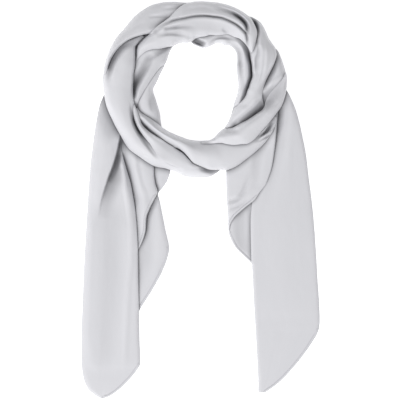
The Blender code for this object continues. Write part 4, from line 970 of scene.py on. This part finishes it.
def hem_line(stretch, hem):
    """The edge that a hem runs along, in x and y."""
    table, lies = stretch["sections"], stretch["lies"]
    fine = np.linspace(hem["start"], hem["end"], HEM_POINTS)
    edge = eased(column(table, SECTION, "place"), column(table, SECTION, hem["edge"]), fine)
    return spot(lies, fine, edge)


def hem_effect(stretch, xy):
    """The hem's roll stands up a little along its edge, with the row of stitches pressed in beside it."""
    change, pressed = np.zeros(xy.shape[:-1]), np.zeros(xy.shape[:-1])
    for hem in stretch["hems"]:
        away, _, _ = from_line(hem_line(stretch, hem), xy)
        roll = np.sqrt(np.clip(1 - (2 * away / HEM_WIDTH - 1) ** 2, 0, 1))
        groove = soft_step(1 - np.abs(away - HEM_WIDTH) / GROOVE_WIDTH)
        change += HEM_RISE * roll - HEM_GROOVE * groove
        pressed = np.maximum(pressed, groove)
    return change, pressed


def edge_height(top, under):
    """How high the cloth's turned edge stands, over what it lies on."""
    return under + np.maximum(RIM, RIM_SHARE * (top - under))


def lofted(stretch, laid, detail):
    """Work out the upper and lower points of one stretch, section by section."""
    table, lies = stretch["sections"], stretch["lies"]
    places, run = section_places(table, lies)
    rows = column(table, SECTION, "place")
    inner, outer, inner_top, crown, outer_top, crown_at = (
        eased(rows, column(table, SECTION, name), places)[:, None] for name in SECTION[1:])
    width = outer - inner
    away = across_places(width[:, 0], lies)
    xy = spot(lies, places[:, None] + 0 * away, inner + away)

    # The underside lies on the cloth below it, or on the floor.
    triangles = grid_triangles(*away.shape)
    footprint = inside_points(xy.reshape(-1, 2)[triangles], FINE_SAMPLES)
    stretch["rests_on"] = laid.carriers(footprint)
    below = np.where(laid.covered(footprint), laid.height, 0.0)
    about = spread(detail.covered(footprint).astype(float), REACH_ABOUT, 0)
    close_below = np.where(about > 0, detail.height, 0.0)
    under = detail.between(spread(close_below, REACH_UNDER, 1), xy)
    under = np.where(under > BARE_TABLE, under + SEAM_GAP, 0.0)
    for _ in range(LIFT_PASSES):
        corners = np.concatenate((xy, under[..., None]), axis=-1).reshape(-1, 3)[triangles]
        points = inside_points(corners)
        reached = detail.read(detail.height, points[..., :2])
        short = np.where(reached > BARE_TABLE, reached + SEAM_GAP - points[..., 2], 0.0).max(axis=1)
        if short.max() < CLOSE_ENOUGH:
            break
        lift = np.zeros(under.size)
        for corner in range(3):
            np.maximum.at(lift, triangles[:, corner], np.clip(short, 0, None))
        under = under + lift.reshape(under.shape)

    # The top is a crowned sheet that turns down at both edges.
    share = away / width
    inner_top = np.maximum(inner_top, under[:, :1] + RIM)
    outer_top = np.maximum(outer_top, under[:, -1:] + RIM)
    rise = np.sin(np.clip(share / crown_at, 0, 1) * math.pi / 2)
    fall = np.sin(np.clip((1 - share) / (1 - crown_at), 0, 1) * math.pi / 2)
    rising, falling = inner_top + (crown - inner_top) * rise, outer_top + (crown - outer_top) * fall
    top = np.where(share < crown_at, rising, falling)
    folds = fold_effect(stretch["name"], lies, xy)
    top = top + folds
    for drop, from_edge, reach in (
            (inner_top - edge_height(inner_top, under[:, :1]), away, stretch["round_in"]),
            (outer_top - edge_height(outer_top, under[:, -1:]), width - away, stretch["round_out"])):
        t = np.clip(1 - from_edge / np.minimum(reach, TURN_LIMIT * width), 0, 1)
        top = top - drop * (1 - np.sqrt(1 - t**2))
    hem, pressed = hem_effect(stretch, xy)
    top = top + hem
    # Painted shade for the folds and for the groove beside each hem, taken off the open sky.
    stretch["hollows"] = FOLD_SHADE * np.clip(-folds / DEEP_FOLD, 0, 1) + HEM_SHADE * pressed

    # It bridges what it lies on, except in its deep folds.
    inwards = soft_step(np.minimum(away, width - away) / BRIDGE)
    inwards = inwards * (1 - np.clip(-folds / FOLD_STAYS_OPEN, 0, 1))
    bridged = laid.between(spread(below, REACH_OVER, REACH_OVER), xy)
    least = under + WALL + inwards * np.clip(bridged - under, 0, None)
    least[:, (0, -1)] = under[:, (0, -1)] + RIM
    top = np.maximum(higher(top, least, SOFT_MEETING), least)
    corners = np.concatenate((xy, top[..., None]), axis=-1).reshape(-1, 3)[triangles]
    laid.add(stretch["name"], inside_points(corners))
    detail.add(stretch["name"], inside_points(corners, FINE_SAMPLES))
    return run, width, xy, top, under


def ring_points(xy, top, under):
    """Each section as a closed ring: over the top, round the outer edge and back underneath."""
    low_xy, low = xy.copy(), under.copy()
    noses = {}
    for edge, inward in ((0, 1), (-1, -2)):
        towards = xy[:, inward] - xy[:, edge]
        length = np.linalg.norm(towards, axis=1)
        drawn = np.minimum(UNDERCUT * (top[:, edge] - under[:, edge]) / length, DRAWN_IN_LIMIT)
        low_xy[:, edge] += towards * drawn[:, None]
        low[:, edge] += np.clip(under[:, inward] - under[:, edge], 0, None) * drawn
        nose_xy = xy[:, edge] + (low_xy[:, edge] - xy[:, edge]) * NOSE_IN
        nose_z = top[:, edge] + (low[:, edge] - top[:, edge]) * NOSE_DOWN
        noses[edge] = np.concatenate((nose_xy, nose_z[:, None]), axis=1)[:, None]
    upper = np.concatenate((xy, top[..., None]), axis=-1)
    lower = np.concatenate((low_xy, low[..., None]), axis=-1)
    return np.concatenate((upper, noses[-1], lower[:, ::-1], noses[0]), axis=1)


def shrunk(xy, top, under, width):
    """The same stretch, smaller by the thickness of the cloth all round."""
    across_way = (xy[:, -1:] - xy[:, :1]) / width[..., None]
    away = np.linalg.norm(xy - xy[:, :1], axis=-1)
    reach = np.minimum(DRAWN_IN_REACH, TURN_LIMIT * width)
    thick = np.minimum(SHEET, reach / REACH_PARTS)
    inwards = np.clip(1 - away / reach, 0, 1) - np.clip(1 - (width - away) / reach, 0, 1)
    inner_xy = xy + across_way * (thick * inwards)[..., None]
    for end, inward in ((0, 1), (-1, -2)):
        step = inner_xy[inward] - inner_xy[end]
        length = np.linalg.norm(step, axis=-1)[:, None]
        inner_xy[end] += step * np.minimum(SHEET / length, END_SHARE)
    middle = (top + under) / 2
    inner_top = np.maximum(top - SHEET, middle + CLEAR_INSIDE)
    return inner_xy, inner_top, np.minimum(under + SHEET, middle - CLEAR_INSIDE)


def shell_mesh(name, tubes, across, run):
    """A mesh of closed tubes of rings, with a UV map in metres across and along the cloth."""
    sections, points = tubes[0][0].shape[:2]
    columns = points // 2 - 1
    s, n = np.meshgrid(np.arange(sections - 1), np.arange(points), indexing="ij")
    next_ring = np.where((n < columns)[..., None], (0, 1, 0, 1, 1, 0), (0, 1, 1, 0, 1, 0))
    side_ring = (n[..., None] + next_ring).reshape(-1, 3)
    side_section = (s[..., None] + np.array((0, 0, 1, 0, 1, 1))).reshape(-1, 3)
    k = np.arange(columns - 1)
    end_ring = np.concatenate((
        np.stack((k, 2 * columns - k, 2 * columns - k - 1), axis=-1),
        np.stack((k, 2 * columns - k - 1, k + 1), axis=-1),
        ((0, points - 1, 2 * columns), (columns + 1, columns, columns - 1))))
    ring = np.concatenate((side_ring, end_ring, end_ring[:, ::-1]))
    section = np.concatenate((side_section, 0 * end_ring, 0 * end_ring + sections - 1))
    vertices, faces, uv = [], [], []
    for number, (rings, turned) in enumerate(tubes):
        way = -1 if turned else 1
        vertices.append((rings * MM).reshape(-1, 3))
        faces.append((section * points + ring % points + number * sections * points)[:, ::way])
        uv.append(np.stack((across[ring], run[section]), axis=-1)[:, ::way].reshape(-1, 2))
    mesh = bpy.data.meshes.new(name)
    mesh.from_pydata(np.concatenate(vertices).tolist(), [], np.concatenate(faces).tolist())
    layer = mesh.uv_layers.new(name="cloth")
    layer.data.foreach_set("uv", (np.concatenate(uv) * MM).ravel())
    return mesh


def shown(name, mesh, material):
    """Put a finished mesh into the scene."""
    mesh.materials.clear()
    mesh.materials.append(material)
    piece = bpy.data.objects.new(name, mesh)
    bpy.context.scene.collection.objects.link(piece)
    return piece


def slopes(xy, z):
    """How fast the cloth rises towards +X and towards +Y at each of its points."""
    (along, across), (z_along, z_across) = (np.gradient(xy, axis=(0, 1)), np.gradient(z))
    turn = along[..., 0] * across[..., 1] - along[..., 1] * across[..., 0]
    x = (z_along * across[..., 1] - z_across * along[..., 1]) / turn
    y = (z_across * along[..., 0] - z_along * across[..., 0]) / turn
    return np.stack((x, y), axis=-1)


def open_sky(detail, xy, z):
    """How much of the sky each point of the cloth sees past the cloth that stands around it."""
    total = np.zeros(z.shape)
    slope = slopes(xy, z)
    for turn in np.linspace(0, 2 * math.pi, SKY_WAYS, endpoint=False):
        way = np.array((math.cos(turn), math.sin(turn)))
        uphill = np.clip((slope * way).sum(axis=-1), 0, None)
        steepest = np.zeros(z.shape)
        for reach in SKY_REACHES:
            rise = detail.read(detail.height, xy + reach * way) - z - LEAST_STEP
            steepest = np.maximum(steepest, (rise / reach - uphill) * (1 - reach / FARTHEST_WALL))
        total += 1 / (1 + (STEEPER * steepest) ** 2)
    steep = np.clip((np.linalg.norm(slope, axis=-1) - STEEP_FROM) / STEEP_FROM, 0, 1)
    return total / SKY_WAYS * (1 - steep) + steep


def evened(values):
    """Each value drawn halfway to its neighbours along and across the cloth."""
    for axis in (0, 1):
        wide = np.pad(values, [(1, 1) if n == axis else (0, 0) for n in (0, 1)], mode="edge")
        before, after = (wide[:-2], wide[2:]) if axis == 0 else (wide[:, :-2], wide[:, 2:])
        values = values / 2 + (before + after) / 4
    return values


def mark_hollows(stretch, detail):
    """Keep how open each point is as an attribute of the cloth, which paints shade into the satin's colour,
    from dark in its deepest folds to light.
    """
    piece, xy, top = stretch["piece"], stretch["xy"], stretch["top"]
    ring = 2 * top.shape[1] + 2
    values = np.ones((2 * top.shape[0], ring))
    values[:top.shape[0], :top.shape[1]] = evened(open_sky(detail, xy, top)) * (1 - stretch["hollows"])
    attribute = piece.data.attributes.new("open_sky", "FLOAT", "POINT")
    attribute.data.foreach_set("value", values.ravel())


def cloth_piece(stretch, laid, detail, material):
    """Make one stretch as a thin closed shell, and work out the cut of what shows, all round."""
    run, width, xy, top, under = lofted(stretch, laid, detail)
    outer_rings = ring_points(xy, top, under)
    inner_rings = ring_points(*shrunk(xy, top, under, width))
    around = np.linalg.norm(np.diff(outer_rings, axis=1, append=outer_rings[:, :1]), axis=2)
    across = np.concatenate(([0], np.cumsum(around.mean(axis=0))))
    along_way, across_way = xy[1, 0] - xy[0, 0], xy[0, -1] - xy[0, 0]
    faces_up = across_way[0] * along_way[1] - across_way[1] * along_way[0] > 0
    name = stretch["name"] + "_cloth"
    mesh = shell_mesh(name, ((outer_rings, not faces_up), (inner_rings, faces_up)), across, run)
    mesh.shade_smooth()
    mesh.set_sharp_from_angle(angle=math.radians(SHARP_ANGLE))
    piece = shown(name, mesh, material)
    area = np.empty(len(mesh.polygons))
    mesh.polygons.foreach_get("area", area)
    stretch["piece"], stretch["xy"], stretch["top"] = piece, xy, top
    flat_width, flat_length = around.sum(axis=1).max() * MM, run[-1] * MM
    stretch["cut"] = (flat_width, flat_length)
    stretch["area"] = min(float(area.sum()) / 2, FULLEST_AREA * flat_width * flat_length)
    return piece


class Wire:
    """A node's output. Sums on it add Math nodes to its tree."""

    def __init__(self, nodes, socket):
        self.nodes, self.socket = nodes, socket

    def maths(self, operation, *numbers):
        return self.nodes.add("ShaderNodeMath", {"operation": operation}, dict(enumerate(numbers)))

    def __add__(self, other):
        return self.maths("ADD", self, other)

    def __radd__(self, other):
        return self.maths("ADD", other, self)

    def __sub__(self, other):
        return self.maths("SUBTRACT", self, other)

    def __rsub__(self, other):
        return self.maths("SUBTRACT", other, self)

    def __mul__(self, other):
        return self.maths("MULTIPLY", self, other)

    def __rmul__(self, other):
        return self.maths("MULTIPLY", other, self)

    def sine(self):
        return self.maths("SINE", self)


class Nodes:
    """Adds nodes to a tree."""

    def __init__(self, tree):
        self.tree = tree

    def add(self, kind, settings, sockets, output=0):
        """A node of one kind, with its settings first and then its sockets' values or links."""
        node = self.tree.nodes.new(kind)
        for name, value in settings.items():
            setattr(node, name, value)
        self.join(node, sockets)
        return Wire(self, node.outputs[output]) if len(node.outputs) else None

    def join(self, node, sockets):
        """Give a node's sockets their links or their values."""
        for key, value in sockets.items():
            if isinstance(value, Wire):
                self.tree.links.new(value.socket, node.inputs[key])
            else:
                node.inputs[key].default_value = value


def noise(nodes, where, scale, detail):
    """Soft noise between 0 and 1."""
    return nodes.add("ShaderNodeTexNoise", {}, {"Vector": where, "Scale": scale, "Detail": detail})


def bumped(nodes, height):
    """A surface raised by a height in metres."""
    return nodes.add("ShaderNodeBump", {}, {"Strength": 1.0, "Distance": 1.0, "Height": height})


def stretched(nodes, x, y, width, length):
    """Where a pattern is read that is one unit wide and long on this width and length of cloth."""
    return nodes.add("ShaderNodeCombineXYZ", {}, {0: x * (1 / width), 1: y * (1 / length)})


def blended(nodes, share, first, second):
    """A colour that passes from the first to the second, at the node's own colour sockets."""
    return nodes.add("ShaderNodeMix", {"data_type": "RGBA"}, {0: share, 6: first, 7: second}, 2)


def plain_material(name, colour, roughness):
    """A material of one colour, its shader, and what adds nodes to it."""
    material = bpy.data.materials.new(name)
    material.use_nodes = True
    shader = material.node_tree.nodes["Principled BSDF"]
    shader.inputs["Base Color"].default_value = colour
    shader.inputs["Roughness"].default_value = roughness
    return material, shader, Nodes(material.node_tree)


def satin_material():
    """Silver-grey satin: fine threads on the bias, soft streaks, a gentle sheen, and shade painted into its
    colour in the folds.
    """
    material, shader, nodes = plain_material("silver_satin", SATIN_LIGHT, SATIN_ROUGHNESS)
    shader.inputs["Specular IOR Level"].default_value = SATIN_SPECULAR
    shader.inputs["Sheen Weight"].default_value = SHEEN
    shader.inputs["Sheen Roughness"].default_value = SHEEN_ROUGHNESS
    place = nodes.add("ShaderNodeUVMap", {"uv_map": "cloth"}, {})
    across = nodes.add("ShaderNodeSeparateXYZ", {}, {0: place}, "X")
    along = nodes.add("ShaderNodeSeparateXYZ", {}, {0: place}, "Y")
    warp, weft = across + along, across - along
    turns = 2 * math.pi / (THREAD_PITCH * math.sqrt(2))
    weave = (warp * turns).sine() * (weft * turns).sine()
    drape = noise(nodes, stretched(nodes, across, along, STREAK_WIDTH, STREAK_LENGTH), 1.0, SOFT_DETAIL)
    slub = noise(nodes, stretched(nodes, warp, weft, SLUB_WIDTH, SLUB_LENGTH), 1.0, FINE_DETAIL)
    cloud = noise(nodes, nodes.add("ShaderNodeTexCoord", {}, {}, "Object"), 1 / CLOUD_SIZE, SOFT_DETAIL)
    tone = CLOUD_SHARE * cloud + DRAPE_SHARE * drape + SLUB_SHARE * slub
    lit = blended(nodes, tone, SATIN_DARK, SATIN_LIGHT)
    # Painted shade: the colour passes to the satin's shade colour where the cloth hides the sky.
    sky = nodes.add("ShaderNodeAttribute", {"attribute_name": "open_sky"}, {}, "Fac")
    clear = nodes.add("ShaderNodeMapRange", {}, {
        "Value": sky, "From Min": PAINTED_SHADE_FROM, "From Max": PAINTED_SHADE_TO})
    nodes.join(shader, {
        "Base Color": blended(nodes, clear, SATIN_PAINTED_SHADE, lit),
        "Roughness": SATIN_ROUGHNESS + ROUGHNESS_CHANGE * (slub + cloud - 1.0),
        "Normal": bumped(nodes, weave * WEAVE_DEPTH + slub * SLUB_DEPTH + drape * DRAPE_DEPTH)})
    return material


def thread_material():
    """Polyester sewing thread, two strands twisted."""
    material, shader, nodes = plain_material("sewing_thread", THREAD_COLOUR, THREAD_ROUGHNESS)
    twist = noise(nodes, nodes.add("ShaderNodeTexCoord", {}, {}, "Object"), 1 / THREAD_GRAIN, FINE_DETAIL)
    nodes.join(shader, {
        "Roughness": THREAD_ROUGHNESS + THREAD_ROUGHNESS_CHANGE * twist,
        "Normal": bumped(nodes, twist * THREAD_DEPTH)})
    return material


def stitch_tree(thread):
    """Stitches along a line: even points on it, each with a short round thread laid along it."""
    tree = bpy.data.node_groups.new("hem_stitches", "GeometryNodeTree")
    tree.interface.new_socket("Line", in_out="INPUT", socket_type="NodeSocketGeometry")
    for name in ("Pitch", "Length", "Radius"):
        tree.interface.new_socket(name, in_out="INPUT", socket_type="NodeSocketFloat")
    tree.interface.new_socket("Stitches", in_out="OUTPUT", socket_type="NodeSocketGeometry")
    nodes = Nodes(tree)
    given = tree.nodes.new("NodeGroupInput")
    line, pitch, length, radius = (Wire(nodes, given.outputs[n]) for n in range(4))
    curve = nodes.add("GeometryNodeMeshToCurve", {}, {0: line})
    points = nodes.add("GeometryNodeResampleCurve", {"mode": "LENGTH"}, {"Curve": curve, "Length": pitch})
    way = nodes.add("GeometryNodeInputTangent", {}, {})
    turn = nodes.add("FunctionNodeAlignRotationToVector", {"axis": "Z"}, {"Vector": way})
    bead = nodes.add("GeometryNodeMeshUVSphere", {}, {
        "Segments": STITCH_SIDES, "Rings": STITCH_RINGS, "Radius": 1.0})
    size = nodes.add("ShaderNodeCombineXYZ", {}, {0: radius, 1: radius, 2: length * 0.5})
    stitches = nodes.add("GeometryNodeInstanceOnPoints", {}, {
        "Points": points, "Instance": bead, "Rotation": turn, "Scale": size})
    real = nodes.add("GeometryNodeRealizeInstances", {}, {0: stitches})
    done = nodes.add("GeometryNodeSetMaterial", {}, {"Geometry": real, "Material": thread})
    nodes.join(tree.nodes.new("NodeGroupOutput"), {0: done})
    return tree


def stitch_lines(stretch, piece):
    """The lines that the stitches follow, on top of the cloth beside each hem's roll."""
    surface = BVHTree.FromObject(piece, bpy.context.evaluated_depsgraph_get())
    for hem in stretch["hems"]:
        edge = hem_line(stretch, hem)
        way = np.gradient(edge, axis=0)
        side = np.stack((-way[:, 1], way[:, 0]), axis=1) / np.linalg.norm(way, axis=1)[:, None]
        table = stretch["sections"]
        fine = np.linspace(hem["start"], hem["end"], len(edge))
        rows = column(table, SECTION, "place")
        inner, outer = (eased(rows, column(table, SECTION, name), fine) for name in ("inner", "outer"))
        inside = spot(stretch["lies"], fine, (inner + outer) / 2) - edge
        side *= np.sign((side * inside).sum(axis=1))[:, None]
        line = []
        for x, y in (edge + side * HEM_WIDTH) * MM:
            place, _, _, _ = surface.ray_cast(Vector((x, y, ABOVE_ALL_M)), Vector((0, 0, -1)))
            if place:
                line.append(place + Vector((0, 0, THREAD_RADIUS * THREAD_STANDS * MM)))
        yield line


def stitch_piece(stretch, piece, thread, tree):
    """The stitches of all hems of one stretch, as one mesh."""
    lines = bmesh.new()
    for line in stitch_lines(stretch, piece):
        points = [lines.verts.new(point) for point in line]
        for pair in zip(points, points[1:]):
            lines.edges.new(pair)
    guide = bpy.data.meshes.new("stitch_guide")
    lines.to_mesh(guide)
    lines.free()
    draft = shown("stitch_guide", guide, thread)
    modifier = draft.modifiers.new("stitches", "NODES")
    modifier.node_group = tree
    named = {item.name: item.identifier for item in tree.interface.items_tree if item.in_out == "INPUT"}
    for name, size in (("Pitch", STITCH_PITCH), ("Length", STITCH_LENGTH), ("Radius", THREAD_RADIUS)):
        modifier[named[name]] = size * MM
    graph = bpy.context.evaluated_depsgraph_get()
    mesh = bpy.data.meshes.new_from_object(draft.evaluated_get(graph), depsgraph=graph)
    mesh.shade_smooth()
    bpy.data.objects.remove(draft, do_unlink=True)
    return shown(stretch["name"] + "_stitches", mesh, thread)


def look_from_above():
    """A camera with a long lens, straight over the neckerchief, that frames it as the photograph does."""
    data = bpy.data.cameras.new("camera")
    data.lens = LENS
    data.sensor_width = SENSOR
    data.clip_end = FARTHEST_SEEN_M
    camera = bpy.data.objects.new("camera", data)
    height = VIEW_WIDTH * LENS / SENSOR + VIEW_HEIGHT
    camera.location = (VIEW_CENTRE[0] * MM, VIEW_CENTRE[1] * MM, height * MM)
    bpy.context.scene.collection.objects.link(camera)
    bpy.context.scene.camera = camera


def studio():
    """A pale floor, a white surround and a large soft light above the tails' side."""
    scene = bpy.context.scene
    scene.view_settings.view_transform = "Standard"
    half = FLOOR_SIZE / 2
    corners = [(-half, -half, 0), (half, -half, 0), (half, half, 0), (-half, half, 0)]
    mesh = bpy.data.meshes.new("floor")
    mesh.from_pydata(corners, [], [(0, 1, 2, 3)])
    material, shader, nodes = plain_material("studio_floor", FLOOR_COLOUR, FLOOR_ROUGHNESS)
    grain = noise(nodes, nodes.add("ShaderNodeTexCoord", {}, {}, "Object"), 1 / FLOOR_GRAIN, SOFT_DETAIL)
    nodes.join(shader, {"Roughness": FLOOR_ROUGHNESS + FLOOR_ROUGHNESS_CHANGE * grain})
    shader.inputs["Emission Color"].default_value = FLOOR_COLOUR
    shader.inputs["Emission Strength"].default_value = FLOOR_GLOW
    shown("floor", mesh, material)
    world = bpy.data.worlds.new("surround")
    world.use_nodes = True
    background = world.node_tree.nodes["Background"]
    background.inputs["Color"].default_value = SURROUND_COLOUR
    background.inputs["Strength"].default_value = SURROUND
    scene.world = world
    for light in (dict(zip(LIGHT, row)) for row in LIGHTS):
        data = bpy.data.lights.new(light["name"], "AREA")
        data.size = light["size"]
        data.energy = light["watts"]
        lamp = bpy.data.objects.new(light["name"], data)
        lamp.location = light["place"]
        way = Vector(LIT_POINT) - Vector(light["place"])
        lamp.rotation_euler = way.to_track_quat("-Z", "Y").to_euler()
        scene.collection.objects.link(lamp)


def main():
    """Lay the stretches from the lowest to the highest, and hand each over with its stitches."""
    look_from_above()
    studio()
    satin, thread = satin_material(), thread_material()
    tree = stitch_tree(thread)
    laid, detail = LaidCloth(CELL), LaidCloth(FINE_CELL)
    stretches = [dict(zip(STRETCH, row)) for row in STRETCHES]
    for stretch in stretches:
        name = stretch["name"]
        stretch["hems"] = [hem for hem in (dict(zip(HEM, row)) for row in HEMS) if hem["stretch"] == name]
        piece = cloth_piece(stretch, laid, detail, satin)
        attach(piece, "root")
        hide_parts(name)
        sewn = []
        if stretch["hems"]:
            sewn = [stitch_piece(stretch, piece, thread, tree)]
            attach(sewn[0], "root")
        rests_on = [n if n == "floor" else n + "_cloth" for n in stretch["rests_on"]]
    for stretch in stretches:
        mark_hollows(stretch, detail)


main()
